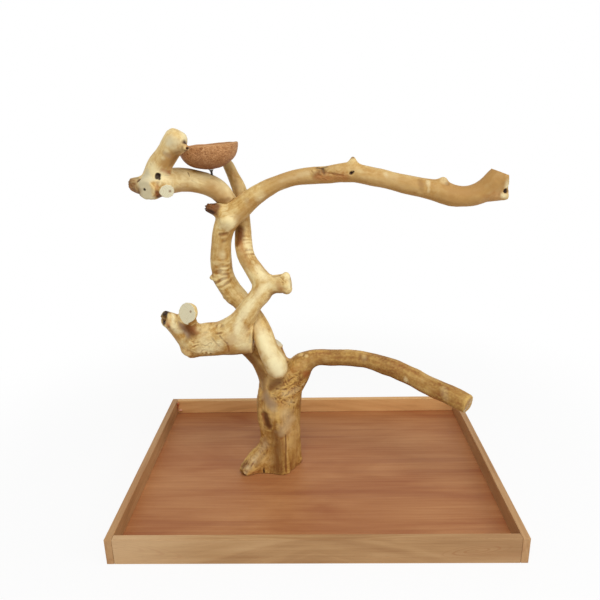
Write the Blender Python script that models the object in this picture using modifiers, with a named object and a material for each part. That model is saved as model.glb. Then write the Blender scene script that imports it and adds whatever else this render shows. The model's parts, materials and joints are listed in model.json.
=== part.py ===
# Tabletop parrot play stand: four natural coffee-wood limbs screwed together on a
# tray, with half a coconut shell as a bowl that turns on its bolt.
# Metres, +Z up. Origin at the middle of the tray, on the surface it stands on.
# +X is to the right and -Y is towards the person in front of it.

import bmesh
import bpy
import math
from mathutils import Vector

GAP = 0.0003                 # left between touching pieces
WELD = 0.00001               # points closer than this are one
CUT_PAST = 0.001             # how far a bore starts outside the wood

# Tray
TRAY_WIDTH = 0.711
TRAY_DEPTH = 0.508
RIM_HEIGHT = 0.0495
RIM_THICKNESS = 0.0127
PANEL_THICKNESS = 0.0095
PANEL_RAISE = 0.0072         # room under the panel for the bolt heads
GROOVE_DEPTH = 0.006         # how far the panel is let into the rim boards
RIM_EDGE = 0.0008            # worn arris on the boards

RIM_SCREW_RADIUS = 0.0018
RIM_SCREW_HEAD_RADIUS = 0.0036
RIM_SCREW_LENGTH = 0.038

# Tree
TREE_X = -0.075              # where the stump stands on the panel
TREE_Y = 0.022
TREE_HEIGHT = 0.700          # panel to the tip of the highest stub
DRAWN_HEIGHT = 700           # the limb stations below are drawn for this height, in mm

TRUNK_RADIUS = 0.046
LOWER_PERCH_RADIUS = 0.018
ARM_RADIUS = 0.017
MAIN_LIMB_RADIUS = 0.020
BURL_RADIUS = 0.034
BURL_FLATNESS = 0.80         # the burl's depth over its height
Y_LIMB_RADIUS = 0.0195
TOP_PERCH_RADIUS = 0.021
STUB_RADIUS = 0.014
PITH_RADIUS = 0.0035          # rotted pith holes in the small twigs
SEAT = 0.85                  # share of two radii left between axes where limbs are let in

# Surface of the limbs
FACET = 0.0045
SMOOTHING = 5
BUMP_HEIGHT = 0.0022
BUMP_SPACING = 0.055
FLUTE_DEPTH = 0.0035         # lengthwise hollows of the stump
FLUTES = 5
TRIANGLE_SHARE = 0.165       # of the even skin's triangles, kept where the limb bends

# Bolts and screws
BOLT_RADIUS = 0.0032
BOLT_HEAD_RADIUS = 0.0064
BOLT_HEAD_HEIGHT = 0.0042
BOLT_GRIP_IN_STUMP = 0.050
BOLT_CIRCLE = 0.026
BOLT_COUNT = 3
BOLT_SHIFT = -0.005          # the bolt circle's middle, to the left of the stump's
WASHER_RADIUS = 0.0110
WASHER_THICKNESS = 0.0016

SHANK_SIDES = 16
SCREW_SIDES = 14             # turned heads and flanges
SCREW_RADIUS = 0.0025
SCREW_FLANGE_RADIUS = 0.0058
SCREW_FLANGE_HEIGHT = 0.0012
SCREW_HEAD_RADIUS = 0.0044
SCREW_HEAD_HEIGHT = 0.0034
SCREW_END = 0.004            # from the inner limb's axis to the screw's point
DRIVER_REACH = 0.060         # length of the bore that the driver goes through
SCREW_HEAD_DEPTH = 0.35      # head seat behind the limb's axis, over the limb's radius

# Bowl
BOWL_RADIUS = 0.0548
BOWL_DEPTH = 0.0435
BOWL_WALL = 0.0038
BOWL_TILT = math.radians(4.2)
BOWL_FULLNESS = 2.2          # exponent of the shell's profile, 2 is an ellipse
BOWL_STEPS = 9               # down its profile
BOWL_SIDES = 32
BOWL_STANDOFF = 0.011        # bolt showing between the perch and the shell
BOWL_BOLT_RADIUS = 0.002
BOWL_BOLT_IN_PERCH = 0.026
BOWL_NUT_RADIUS = 0.0033
BOWL_NUT_HEIGHT = 0.0024
BOWL_WASHER_RADIUS = 0.0050
BOWL_WASHER_THICKNESS = 0.0010
BOWL_CLEARANCE = 0.003       # between the shell and the limbs round it

PANEL_TOP = PANEL_RAISE + PANEL_THICKNESS
UNIT = TREE_HEIGHT / DRAWN_HEIGHT

# Depths of the limbs, worked out from their radii so that each is let into the next
FORK_SHARE = 1.10
TRUNK_TOP_SHARE = 0.75
CROSSING_DEPTH = -0.004
FORK_DEPTH = -0.006
FOOT_DEPTH = -SEAT * (TRUNK_TOP_SHARE * TRUNK_RADIUS + MAIN_LIMB_RADIUS)
Y_DEPTH = CROSSING_DEPTH - SEAT * (MAIN_LIMB_RADIUS + Y_LIMB_RADIUS)
ARM_DEPTH = Y_DEPTH + SEAT * (BURL_RADIUS * BURL_FLATNESS + ARM_RADIUS)
Y_TOP_SHARE = 0.77
Y_BACK_DEPTH = FORK_DEPTH + SEAT * (FORK_SHARE * MAIN_LIMB_RADIUS + Y_TOP_SHARE * Y_LIMB_RADIUS)

# The bowl's bolt stands on the top-left perch
BOWL_X = -104 * UNIT
BOWL_Y = FORK_DEPTH
PERCH_AXIS_HEIGHT = 584 * UNIT
BOWL_Z = PERCH_AXIS_HEIGHT + TOP_PERCH_RADIUS + BOWL_STANDOFF
RAISED_STUB_X = -147 * UNIT
RAISED_STUB_SHARE = 1.00
RAISED_STUB_DEPTH = BOWL_Y - math.sqrt(
    (BOWL_RADIUS + RAISED_STUB_SHARE * TOP_PERCH_RADIUS + BOWL_CLEARANCE) ** 2
    - (RAISED_STUB_X - BOWL_X) ** 2)
Y_TIP_X = -83 * UNIT
Y_TIP_SHARE = 0.53
LOW_BOWL_SHARE = 0.72        # the shell's radius beside the tip, over its rim's
Y_TIP_DEPTH = BOWL_Y + math.sqrt(
    (LOW_BOWL_SHARE * BOWL_RADIUS + Y_TIP_SHARE * Y_LIMB_RADIUS + BOWL_CLEARANCE) ** 2
    - (Y_TIP_X - BOWL_X) ** 2)

for old in list(bpy.data.objects):
    bpy.data.objects.remove(old, do_unlink=True)

stand = bpy.data.collections.new("parrot_play_stand")
cutters = bpy.data.collections.new("cutters")
bpy.context.scene.collection.children.link(stand)
bpy.context.scene.collection.children.link(cutters)


# Materials

def wood(name, color, roughness=0.6, metallic=0.0):
    material = bpy.data.materials.new(name)
    material.use_nodes = True
    shader = material.node_tree.nodes["Principled BSDF"]
    shader.inputs["Base Color"].default_value = (*color, 1.0)
    shader.inputs["Roughness"].default_value = roughness
    shader.inputs["Metallic"].default_value = metallic
    return material


def steel(name, color=(0.56, 0.56, 0.55)):
    return wood(name, color, roughness=0.35, metallic=1.0)


# Plain solids

def new_object(name, mesh, material=None, collection=None):
    item = bpy.data.objects.new(name, mesh)
    (collection or stand).objects.link(item)
    if collection is cutters:
        item.hide_render = True
        item.display_type = "WIRE"
    if material:
        mesh.materials.clear()
        mesh.materials.append(material)
    return item


def mesh_from(bm, name):
    mesh = bpy.data.meshes.new(name)
    bmesh.ops.recalc_face_normals(bm, faces=bm.faces)
    bm.to_mesh(mesh)
    bm.free()
    return mesh


def box_mesh(name, low, high):
    bm = bmesh.new()
    bmesh.ops.create_cube(bm, size=1.0)
    size = Vector(high) - Vector(low)
    middle = (Vector(high) + Vector(low)) / 2
    bmesh.ops.scale(bm, vec=size, verts=bm.verts)
    bmesh.ops.translate(bm, vec=middle, verts=bm.verts)
    return mesh_from(bm, name)


def rod_mesh(name, radius, bottom, top, sides=SHANK_SIDES, tip=None):
    bm = bmesh.new()
    bmesh.ops.create_cone(
        bm, cap_ends=True, segments=sides, radius1=radius,
        radius2=radius if tip is None else tip, depth=top - bottom)
    bmesh.ops.translate(bm, vec=(0, 0, (top + bottom) / 2), verts=bm.verts)
    return mesh_from(bm, name)


def aim(item, point, direction):
    # Puts the item's own +Z along the direction
    item.location = point
    item.rotation_mode = "QUATERNION"
    item.rotation_quaternion = Vector(direction).to_track_quat("Z", "Y")


def settle(item):
    # Keeps the shape that the modifiers give, and drops the modifiers
    bpy.context.view_layer.update()
    graph = bpy.context.evaluated_depsgraph_get()
    mesh = bpy.data.meshes.new_from_object(item.evaluated_get(graph))
    item.modifiers.clear()
    item.data = mesh
    return item


def keep_largest(item):
    # A cope can leave a loose sliver beyond the seam
    bm = bmesh.new()
    bm.from_mesh(item.data)
    left = set(bm.verts)
    islands = []
    while left:
        reached = {left.pop()}
        edge_of_reach = list(reached)
        while edge_of_reach:
            vert = edge_of_reach.pop()
            for edge in vert.link_edges:
                other = edge.other_vert(vert)
                if other in left:
                    left.discard(other)
                    reached.add(other)
                    edge_of_reach.append(other)
        islands.append(reached)
    islands.sort(key=len)
    for island in islands[:-1]:
        bmesh.ops.delete(bm, geom=list(island), context="VERTS")
    bm.to_mesh(item.data)
    bm.free()
    return item


def boolean(item, other, operation="DIFFERENCE"):
    cut = item.modifiers.new(other.name, "BOOLEAN")
    cut.operation = operation
    cut.solver = "EXACT"
    cut.object = other
    return settle(item)


# Tray

def board(name, low, high, material):
    item = new_object(name, box_mesh(name, low, high), material)
    edge = item.modifiers.new("arris", "BEVEL")
    edge.width = RIM_EDGE
    edge.segments = 2
    edge.limit_method = "ANGLE"
    return settle(item)


half_width = TRAY_WIDTH / 2
half_depth = TRAY_DEPTH / 2
inner_x = half_width - RIM_THICKNESS
inner_y = half_depth - RIM_THICKNESS
rim_wood = wood("rim wood", (0.52, 0.29, 0.15))

rim_left = board("rim_left", (-half_width, -half_depth, 0), (-inner_x, half_depth, RIM_HEIGHT), rim_wood)
rim_right = board("rim_right", (inner_x, -half_depth, 0), (half_width, half_depth, RIM_HEIGHT), rim_wood)
short_x = inner_x - GAP
rim_front = board("rim_front", (-short_x, -half_depth, 0), (short_x, -inner_y, RIM_HEIGHT), rim_wood)
rim_back = board("rim_back", (-short_x, inner_y, 0), (short_x, half_depth, RIM_HEIGHT), rim_wood)

panel_x = inner_x + GROOVE_DEPTH
panel_y = inner_y + GROOVE_DEPTH
base_panel = new_object(
    "base_panel",
    box_mesh("base_panel", (-panel_x, -panel_y, PANEL_RAISE), (panel_x, panel_y, PANEL_TOP)),
    wood("panel wood", (0.40, 0.17, 0.075)))
groove = new_object(
    "groove",
    box_mesh("groove", (-panel_x - GAP, -panel_y - GAP, PANEL_RAISE - GAP),
             (panel_x + GAP, panel_y + GAP, PANEL_TOP + GAP)),
    collection=cutters)
for rim in (rim_left, rim_right, rim_front, rim_back):
    boolean(rim, groove)


def rim_screw_profile(grow):
    # Countersunk head flush with the board, shank and point, along +Z from the face
    taper = RIM_SCREW_HEAD_RADIUS - RIM_SCREW_RADIUS
    return [
        (0, 0), (RIM_SCREW_HEAD_RADIUS + grow, 0),
        (RIM_SCREW_RADIUS + grow, taper + grow),
        (RIM_SCREW_RADIUS + grow, RIM_SCREW_LENGTH - 2 * RIM_SCREW_RADIUS + grow),
        (0, RIM_SCREW_LENGTH + grow)]


def turned_mesh(name, profile, steps):
    # Profile points are (radius, height); the first and last lie on the axis
    bm = bmesh.new()
    verts = [bm.verts.new((radius, 0, height)) for radius, height in profile]
    for first, second in zip(verts, verts[1:]):
        bm.edges.new((first, second))
    mesh = bpy.data.meshes.new(name)
    bm.to_mesh(mesh)
    bm.free()
    item = bpy.data.objects.new(name, mesh)
    cutters.objects.link(item)
    lathe = item.modifiers.new("lathe", "SCREW")
    lathe.steps = steps
    lathe.render_steps = steps
    lathe.use_merge_vertices = True
    lathe.merge_threshold = WELD
    settle(item)
    bm = bmesh.new()
    bm.from_mesh(item.data)
    bmesh.ops.remove_doubles(bm, verts=bm.verts, dist=WELD)
    bpy.data.objects.remove(item)
    return mesh_from(bm, name)


def copies(name, mesh, places, material):
    # Copies of one fastener, each a piece of its own; places are (point, direction)
    mesh.materials.clear()
    mesh.materials.append(material)
    for number, (point, direction) in enumerate(places, start=1):
        label = name if len(places) == 1 else f"{name}_{number}"
        aim(new_object(label, mesh), point, direction)


rim_screw_places = []
screw_heights = [PANEL_TOP + share * (RIM_HEIGHT - PANEL_TOP) for share in (0.27, 0.74)]
for side in (-1, 1):
    for end in (-1, 1):
        for height in screw_heights:
            place = Vector((side * half_width, end * (half_depth - RIM_THICKNESS / 2), height))
            rim_screw_places.append((place, Vector((-side, 0, 0))))
bright_steel = steel("bright steel")
copies("rim_screw", turned_mesh("rim_screw", rim_screw_profile(0), SCREW_SIDES), rim_screw_places, bright_steel)
rim_hole = turned_mesh("rim_hole", rim_screw_profile(GAP), SCREW_SIDES)
for place, direction in rim_screw_places:
    hole = new_object("rim_hole", rim_hole, collection=cutters)
    aim(hole, place - direction * GAP, direction)
    boolean(rim_left if place.x < 0 else rim_right, hole)
    boolean(rim_front if place.y < 0 else rim_back, hole)


# Limbs

def station(x, z, depth, share, radius):
    # A place on a limb's axis and its radius there; x and z as drawn, depth in metres
    point = Vector((TREE_X + x * UNIT, TREE_Y + depth, PANEL_TOP + z * UNIT))
    return point, share * radius


def tube_mesh(stations, flatness=1.0):
    curve = bpy.data.curves.new("tube", "CURVE")
    curve.dimensions = "3D"
    curve.bevel_depth = 1.0
    curve.bevel_resolution = 4
    curve.resolution_u = 8
    curve.use_fill_caps = True
    spline = curve.splines.new("BEZIER")
    spline.radius_interpolation = "CARDINAL"
    spline.bezier_points.add(len(stations) - 1)
    for knot, (point, radius) in zip(spline.bezier_points, stations):
        knot.co = point
        knot.radius = radius
        knot.handle_left_type = "AUTO"
        knot.handle_right_type = "AUTO"
    item = bpy.data.objects.new("tube", curve)
    cutters.objects.link(item)
    bpy.context.view_layer.update()
    graph = bpy.context.evaluated_depsgraph_get()
    mesh = bpy.data.meshes.new_from_object(item.evaluated_get(graph))
    bpy.data.objects.remove(item)
    bm = bmesh.new()
    bm.from_mesh(mesh)
    bmesh.ops.remove_doubles(bm, verts=bm.verts, dist=WELD)
    bmesh.ops.recalc_face_normals(bm, faces=bm.faces)
    middle = sum(point.y for point, radius in stations) / len(stations)
    for vert in bm.verts:
        vert.co.y = middle + (vert.co.y - middle) * flatness
    bm.to_mesh(mesh)
    bm.free()
    return mesh


def extended(stations, overhang):
    # Lets a stub run on past its saw cut, so that the cut is flat and its edge is crisp
    last, radius = stations[-1]
    onward = (last - stations[-2][0]).normalized()
    return stations + [(last + onward * overhang, radius)]


def saw(item, point, direction, reach):
    # Takes away what lies beyond the point, in a block that is reach wide
    block = new_object("saw", box_mesh("saw", (-reach, -reach, 0), (reach, reach, reach)),
                       collection=cutters)
    aim(block, point, direction)
    return boolean(item, block)


def limb(name, tubes, material, flutes=False):
    # One grown piece: its tubes melt into each other at the forks
    bm = bmesh.new()
    for mesh in tubes:
        bm.from_mesh(mesh)
    joined = bpy.data.meshes.new(name)
    bm.to_mesh(joined)
    bm.free()
    item = new_object(name, joined, material)
    skin = item.modifiers.new("skin", "REMESH")
    skin.mode = "VOXEL"
    skin.voxel_size = FACET
    soft = item.modifiers.new("soft", "SMOOTH")
    soft.factor = 0.5
    soft.iterations = SMOOTHING
    settle(item)
    if flutes:
        flute(item.data)
    texture = bpy.data.textures.new(name, "CLOUDS")
    texture.noise_scale = BUMP_SPACING
    texture.noise_depth = 1
    bumps = item.modifiers.new("bumps", "DISPLACE")
    bumps.texture = texture
    bumps.texture_coords = "GLOBAL"
    bumps.mid_level = 0.5
    bumps.strength = 2 * BUMP_HEIGHT
    fewer = item.modifiers.new("fewer", "DECIMATE")
    fewer.ratio = TRIANGLE_SHARE
    fewer.use_collapse_triangulate = True
    settle(item)
    for polygon in item.data.polygons:
        polygon.use_smooth = True
    return item


def flute(mesh):
    # Lengthwise hollows that fade out towards the top of the stump
    fade_height = 230 * UNIT
    for vert in mesh.vertices:
        height = vert.co.z - PANEL_TOP
        across = Vector((vert.co.x - TREE_X, vert.co.y - TREE_Y, 0))
        if height > fade_height or across.length < 0.4 * TRUNK_RADIUS:
            continue
        around = math.atan2(across.y, across.x)
        fade = 1 - max(height, 0) / fade_height
        wave = math.cos(FLUTES * around + 9 * height / TREE_HEIGHT)
        vert.co += across.normalized() * FLUTE_DEPTH * fade * wave


def with_clearance(item):
    # A copy of the limb that is larger by the gap, to seat its neighbour on
    mesh = item.data.copy()
    bm = bmesh.new()
    bm.from_mesh(mesh)
    bm.normal_update()
    moves = [vert.normal * GAP * vert.calc_shell_factor() for vert in bm.verts]
    for vert, move in zip(bm.verts, moves):
        vert.co += move
    bm.to_mesh(mesh)
    bm.free()
    return new_object(item.name + "_clearance", mesh, collection=cutters)


def stations_of(radius, *rows):
    return [station(x, z, depth, share, radius) for x, z, depth, share in rows]


def end_saw(item, stations, reach=2 * STUB_RADIUS):
    last = stations[-1][0]
    return saw(item, last, last - stations[-2][0], reach)


def tree_point(x, z, depth):
    return station(x, z, depth, 1, 1)[0]


def hollow(item, point, direction, radius, depth):
    # A pith hole or a rotted knot, narrowing inwards
    bore = new_object("hollow", rod_mesh("hollow", 0.55 * radius, -depth, 2 * radius, 10, tip=1.3 * radius),
                      collection=cutters)
    aim(bore, point, direction)
    return boolean(item, bore)


OVERHANG = 7 * UNIT

# Main limb: rounded foot, upright, fork and the long right perch, grown as one
main_route = stations_of(
    MAIN_LIMB_RADIUS,
    (10, 219, FOOT_DEPTH + 3 * UNIT, 0.50),
    (8, 231, FOOT_DEPTH + 1 * UNIT, 0.98),
    (3, 249, FOOT_DEPTH, 1.15),
    (-6, 268, FOOT_DEPTH, 1.09),
    (-14, 286, FOOT_DEPTH + 6 * UNIT, 1.06),
    (-24, 311, FOOT_DEPTH + 18 * UNIT, 1.00),
    (-38, 333, CROSSING_DEPTH - 7 * UNIT, 0.97),
    (-60, 357, CROSSING_DEPTH + 7 * UNIT, 0.98),
    (-83, 384, 10 * UNIT, 0.99),
    (-97, 416, 10 * UNIT, 1.02),
    (-98, 454, 6 * UNIT, 1.01),
    (-94, 486, 0, 1.00),
    (-81, 520, FORK_DEPTH + 1 * UNIT, FORK_SHARE),
    (-52, 547, FORK_DEPTH - 1 * UNIT, 1.08),
    (-20, 571, FORK_DEPTH - 5 * UNIT, 0.90),
    (20, 591, -16 * UNIT, 0.77),
    (60, 601, -20 * UNIT, 0.81),
    (104, 604, -26 * UNIT, 0.83),
    (149, 607, -34 * UNIT, 0.90),
    (190, 599, -41 * UNIT, 0.85),
    (236, 588, -48 * UNIT, 0.84),
    (287, 578, -56 * UNIT, 0.97),
    (330, 566, -63 * UNIT, 0.97),
    (352, 567, -66 * UNIT, 0.96),
    (373, 577, -69 * UNIT, 0.99),
    (390, 593, -72 * UNIT, 1.07))
broken_twig = stations_of(
    MAIN_LIMB_RADIUS,
    (-78, 538, FORK_DEPTH, 0.85),
    (-100, 545, FORK_DEPTH - 6 * UNIT, 0.66),
    (-118, 549, FORK_DEPTH - 9 * UNIT, 0.48))
front_boss = stations_of(
    MAIN_LIMB_RADIUS,
    (-78, 527, FORK_DEPTH, 0.90),
    (-78, 521, FORK_DEPTH - 17 * UNIT, 0.80),
    (-78, 518, FORK_DEPTH - 24 * UNIT, 0.62))
perch_knob = stations_of(
    MAIN_LIMB_RADIUS,
    (149, 612, -34 * UNIT, 0.60),
    (150, 628, -35 * UNIT, 0.42),
    (151, 636, -35 * UNIT, 0.26))
perch_nub = stations_of(
    MAIN_LIMB_RADIUS,
    (297, 582, -58 * UNIT, 0.66),
    (303, 594, -59 * UNIT, 0.46),
    (305, 601, -59 * UNIT, 0.28))
side_stub = stations_of(
    MAIN_LIMB_RADIUS,
    (376, 574, -72 * UNIT, 0.86),
    (411, 569, -75 * UNIT, 0.52))
main_limb = limb(
    "main_limb",
    [tube_mesh(extended(main_route, 3 * OVERHANG)), tube_mesh(broken_twig), tube_mesh(front_boss),
     tube_mesh(perch_knob), tube_mesh(perch_nub), tube_mesh(extended(side_stub, OVERHANG))],
    wood("coffee wood, pale", (0.60, 0.39, 0.17)))
saw(main_limb, tree_point(392, 608, -72 * UNIT), (0.37, 0, 0.93), 2 * MAIN_LIMB_RADIUS)
saw(main_limb, tree_point(405, 600, -72 * UNIT), (0.98, -0.05, 0.17), 2.5 * MAIN_LIMB_RADIUS)
hollow(main_limb, tree_point(409, 573, -76 * UNIT), (0.95, -0.30, 0.1), PITH_RADIUS, 3 * PITH_RADIUS)
end_saw(main_limb, broken_twig, 0.8 * MAIN_LIMB_RADIUS)

# Y limb: knotty burl on the left, then up past the main limb to behind the bowl
burl = stations_of(
    BURL_RADIUS,
    (-191, 341, Y_DEPTH - 16 * UNIT, 0.50),
    (-173, 318, Y_DEPTH - 10 * UNIT, 0.62),
    (-154, 297, Y_DEPTH - 2 * UNIT, 0.84),
    (-130, 297, Y_DEPTH, 1.00),
    (-100, 299, Y_DEPTH + 2 * UNIT, 1.00),
    (-62, 300, Y_DEPTH + 2 * UNIT, 0.98),
    (-38, 300, Y_DEPTH + 2 * UNIT, 0.96))
burl_heel = stations_of(
    BURL_RADIUS,
    (-134, 293, Y_DEPTH, 0.84),
    (-152, 285, Y_DEPTH - 2 * UNIT, 0.66),
    (-163, 281, Y_DEPTH - 3 * UNIT, 0.64),
    (-170, 280, Y_DEPTH - 4 * UNIT, 0.52))
hollow_stub = stations_of(
    STUB_RADIUS,
    (-176, 331, Y_DEPTH - 12 * UNIT, 1.20),
    (-189, 343, Y_DEPTH - 17 * UNIT, 1.18),
    (-201, 351, Y_DEPTH - 23 * UNIT, 1.14))
disc_stub = stations_of(
    STUB_RADIUS,
    (-158, 326, Y_DEPTH - 8 * UNIT, 1.20),
    (-157, 352, Y_DEPTH - 22 * UNIT, 1.20),
    (-152, 366, Y_DEPTH - 37 * UNIT, 1.44))
y_route = stations_of(
    Y_LIMB_RADIUS,
    (-96, 302, Y_DEPTH + 2 * UNIT, 1.60),
    (-66, 328, Y_DEPTH, 1.34),
    (-40, 366, Y_DEPTH, 1.02),
    (-16, 399, Y_DEPTH + 10 * UNIT, 1.05),
    (-30, 424, Y_DEPTH + 20 * UNIT, 0.97),
    (-46, 446, Y_DEPTH + 33 * UNIT, 0.88),
    (-54, 471, Y_BACK_DEPTH - 16 * UNIT, 0.88),
    (-55, 499, Y_BACK_DEPTH - 6 * UNIT, 0.84),
    (-56, 537, Y_BACK_DEPTH, Y_TOP_SHARE),
    (-59, 573, Y_BACK_DEPTH + 5 * UNIT, 0.73),
    (-70, 600, Y_TIP_DEPTH - 6 * UNIT, 0.64),
    (-83, 628, Y_TIP_DEPTH, Y_TIP_SHARE))
right_stub = stations_of(
    Y_LIMB_RADIUS,
    (-14, 402, Y_DEPTH + 10 * UNIT, 0.95),
    (12, 405, Y_DEPTH + 6 * UNIT, 0.93),
    (36, 408, Y_DEPTH + 3 * UNIT, 0.98))
y_limb = limb(
    "y_limb",
    [tube_mesh(extended(burl, 1.5 * OVERHANG), BURL_FLATNESS), tube_mesh(burl_heel, BURL_FLATNESS),
     tube_mesh(extended(hollow_stub, OVERHANG)), tube_mesh(extended(disc_stub, OVERHANG)),
     tube_mesh(y_route), tube_mesh(extended(right_stub, OVERHANG))],
    wood("coffee wood, mottled", (0.52, 0.34, 0.16)))
hollow_face = Vector((-0.70, -0.66, 0.27))
saw(y_limb, hollow_stub[-1][0], hollow_face, 2 * STUB_RADIUS)
saw(y_limb, disc_stub[-1][0], (-0.42, -0.88, 0.20), 2.3 * STUB_RADIUS)
end_saw(y_limb, right_stub)
hollow(y_limb, hollow_stub[-1][0], hollow_face, 0.55 * STUB_RADIUS, 1.3 * STUB_RADIUS)
burl_face = Vector((TREE_X - 40 * UNIT, TREE_Y + Y_DEPTH, PANEL_TOP + 288 * UNIT))
saw(y_limb, burl_face, (0.99, -0.06, -0.09), 1.35 * BURL_RADIUS)
main_clearance = with_clearance(main_limb)
boolean(y_limb, main_clearance)
keep_largest(y_limb)

# Trunk: stump with a root toe, the lower right perch, an arm and a sawn stub
stump = stations_of(
    TRUNK_RADIUS,
    (-12, -34, 0, 1.20),
    (-7, 0, 0, 1.10),
    (0, 36, 0, 0.97),
    (3, 78, 2 * UNIT, 0.92),
    (2, 120, 2 * UNIT, 1.01),
    (6, 162, 0, 1.01),
    (11, 198, -2 * UNIT, 0.94),
    (14, 228, -4 * UNIT, TRUNK_TOP_SHARE))
root_toe = stations_of(
    STUB_RADIUS,
    (-22, 36, -6 * UNIT, 1.70),
    (-45, 18, -21 * UNIT, 1.60),
    (-62, 8, -35 * UNIT, 1.25),
    (-71, 3, -44 * UNIT, 0.90))
back_toe = stations_of(
    STUB_RADIUS,
    (8, 26, 12 * UNIT, 1.70),
    (26, 8, 32 * UNIT, 1.50),
    (34, -4, 44 * UNIT, 1.00))
right_toe = stations_of(
    STUB_RADIUS,
    (20, 24, -2 * UNIT, 1.50),
    (36, 2, -6 * UNIT, 1.10))
lower_perch = stations_of(
    LOWER_PERCH_RADIUS,
    (6, 178, -2 * UNIT, 2.25),
    (37, 208, -6 * UNIT, 1.82),
    (57, 235, -13 * UNIT, 1.34),
    (78, 248, -18 * UNIT, 1.04),
    (112, 251, -25 * UNIT, 0.96),
    (166, 255, -42 * UNIT, 0.92),
    (211, 251, -64 * UNIT, 0.95),
    (254, 241, -90 * UNIT, 1.01),
    (296, 230, -121 * UNIT, 1.04),
    (345, 219, -162 * UNIT, 1.02))
arm = stations_of(
    ARM_RADIUS,
    (-6, 196, 2 * UNIT, 1.75),
    (-28, 234, ARM_DEPTH + 2 * UNIT, 1.30),
    (-52, 262, ARM_DEPTH, 1.06),
    (-78, 284, ARM_DEPTH, 0.98),
    (-94, 296, ARM_DEPTH - 1 * UNIT, 0.86))
top_stub = stations_of(
    STUB_RADIUS,
    (6, 222, 2 * UNIT, 1.55),
    (3, 254, 4 * UNIT, 1.06),
    (0, 274, 6 * UNIT, 1.00))
trunk = limb(
    "trunk",
    [tube_mesh(stump), tube_mesh(root_toe), tube_mesh(back_toe), tube_mesh(right_toe),
     tube_mesh(extended(lower_perch, OVERHANG)), tube_mesh(arm), tube_mesh(extended(top_stub, OVERHANG))],
    wood("coffee wood, golden", (0.45, 0.27, 0.11)),
    flutes=True)
end_saw(trunk, lower_perch)
saw(trunk, top_stub[-1][0], (0.45, -0.1, 0.88), 1.7 * STUB_RADIUS)
saw(trunk, Vector((TREE_X, TREE_Y, PANEL_TOP + GAP)), (0, 0, -1), 3 * TRUNK_RADIUS)
boolean(trunk, main_clearance)
boolean(trunk, with_clearance(y_limb))
keep_largest(trunk)

# Top-left perch: coped over the fork, with a cluster of sawn stubs at its far end
perch_route = stations_of(
    TOP_PERCH_RADIUS,
    (-70, 542, FORK_DEPTH + 13 * UNIT, 0.84),
    (-78, 556, FORK_DEPTH + 10 * UNIT, 0.90),
    (-88, 571, FORK_DEPTH + 6 * UNIT, 0.97),
    (-104, 584, FORK_DEPTH + 2 * UNIT, 1.00),
    (-127, 593, FORK_DEPTH - 3 * UNIT, 0.99),
    (-149, 599, FORK_DEPTH - 14 * UNIT, 1.02),
    (-171, 600, FORK_DEPTH - 33 * UNIT, 1.10),
    (-192, 598, FORK_DEPTH - 47 * UNIT, 1.22))
raised_stub = stations_of(
    TOP_PERCH_RADIUS,
    (-196, 597, RAISED_STUB_DEPTH + 22 * UNIT, 1.24),
    (-186, 624, RAISED_STUB_DEPTH + 13 * UNIT, 1.06),
    (-165, 649, RAISED_STUB_DEPTH + 5 * UNIT, 0.94),
    (-147, 674, RAISED_STUB_DEPTH, RAISED_STUB_SHARE),
    (-141, 685, RAISED_STUB_DEPTH, 0.70))
ringed_stub = stations_of(
    STUB_RADIUS,
    (-178, 597, FORK_DEPTH - 52 * UNIT, 1.12),
    (-171, 590, FORK_DEPTH - 70 * UNIT, 0.94),
    (-167, 587, FORK_DEPTH - 80 * UNIT, 0.91))
oblong_stub = stations_of(
    STUB_RADIUS,
    (-197, 594, FORK_DEPTH - 45 * UNIT, 1.55),
    (-203, 591, FORK_DEPTH - 68 * UNIT, 1.36),
    (-206, 590, FORK_DEPTH - 76 * UNIT, 1.32))
left_stub = stations_of(
    STUB_RADIUS,
    (-204, 594, FORK_DEPTH - 46 * UNIT, 1.20),
    (-222, 595, FORK_DEPTH - 52 * UNIT, 1.08),
    (-234, 597, FORK_DEPTH - 55 * UNIT, 0.96),
    (-241, 597, FORK_DEPTH - 56 * UNIT, 0.60))
hollow_twig = stations_of(
    STUB_RADIUS,
    (-148, 655, RAISED_STUB_DEPTH + 2 * UNIT, 0.62),
    (-126, 657, RAISED_STUB_DEPTH - 19 * UNIT, 0.44))
top_left_perch = limb(
    "top_left_perch",
    [tube_mesh(perch_route), tube_mesh(raised_stub), tube_mesh(extended(ringed_stub, OVERHANG)),
     tube_mesh(extended(oblong_stub, OVERHANG)), tube_mesh(left_stub),
     tube_mesh(extended(hollow_twig, OVERHANG))],
    wood("coffee wood, honey", (0.56, 0.36, 0.15)))
end_saw(top_left_perch, ringed_stub, 1.4 * STUB_RADIUS)
end_saw(top_left_perch, oblong_stub, 1.7 * STUB_RADIUS)
end_saw(top_left_perch, hollow_twig, 0.65 * STUB_RADIUS)
hollow(top_left_perch, hollow_twig[-1][0], hollow_twig[-1][0] - hollow_twig[-2][0],
       0.75 * PITH_RADIUS, 2.3 * PITH_RADIUS)
boolean(top_left_perch, main_clearance)
boolean(top_left_perch, with_clearance(y_limb))
keep_largest(top_left_perch)


# Bolts and screws

def headed_mesh(name, shank_radius, length, head_radius, head_height, flange_height=0):
    # Seat at the origin, pointed shank along +Z, washer face and six-sided head below
    flange_radius = SCREW_FLANGE_RADIUS if flange_height else 0.7 * head_radius
    flange_bottom = -flange_height or -0.5 * head_height
    item = new_object("fastener", turned_mesh(name, [
        (0, flange_bottom), (flange_radius, flange_bottom), (flange_radius, 0), (shank_radius, 0),
        (shank_radius, length), (0, length + 2 * shank_radius)], SCREW_SIDES), collection=cutters)
    head = rod_mesh("head", head_radius, -head_height - flange_height, -0.3 * flange_height, 6)
    boolean(item, new_object("head", head, collection=cutters), "UNION")
    item.data.name = name
    return item.data


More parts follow.
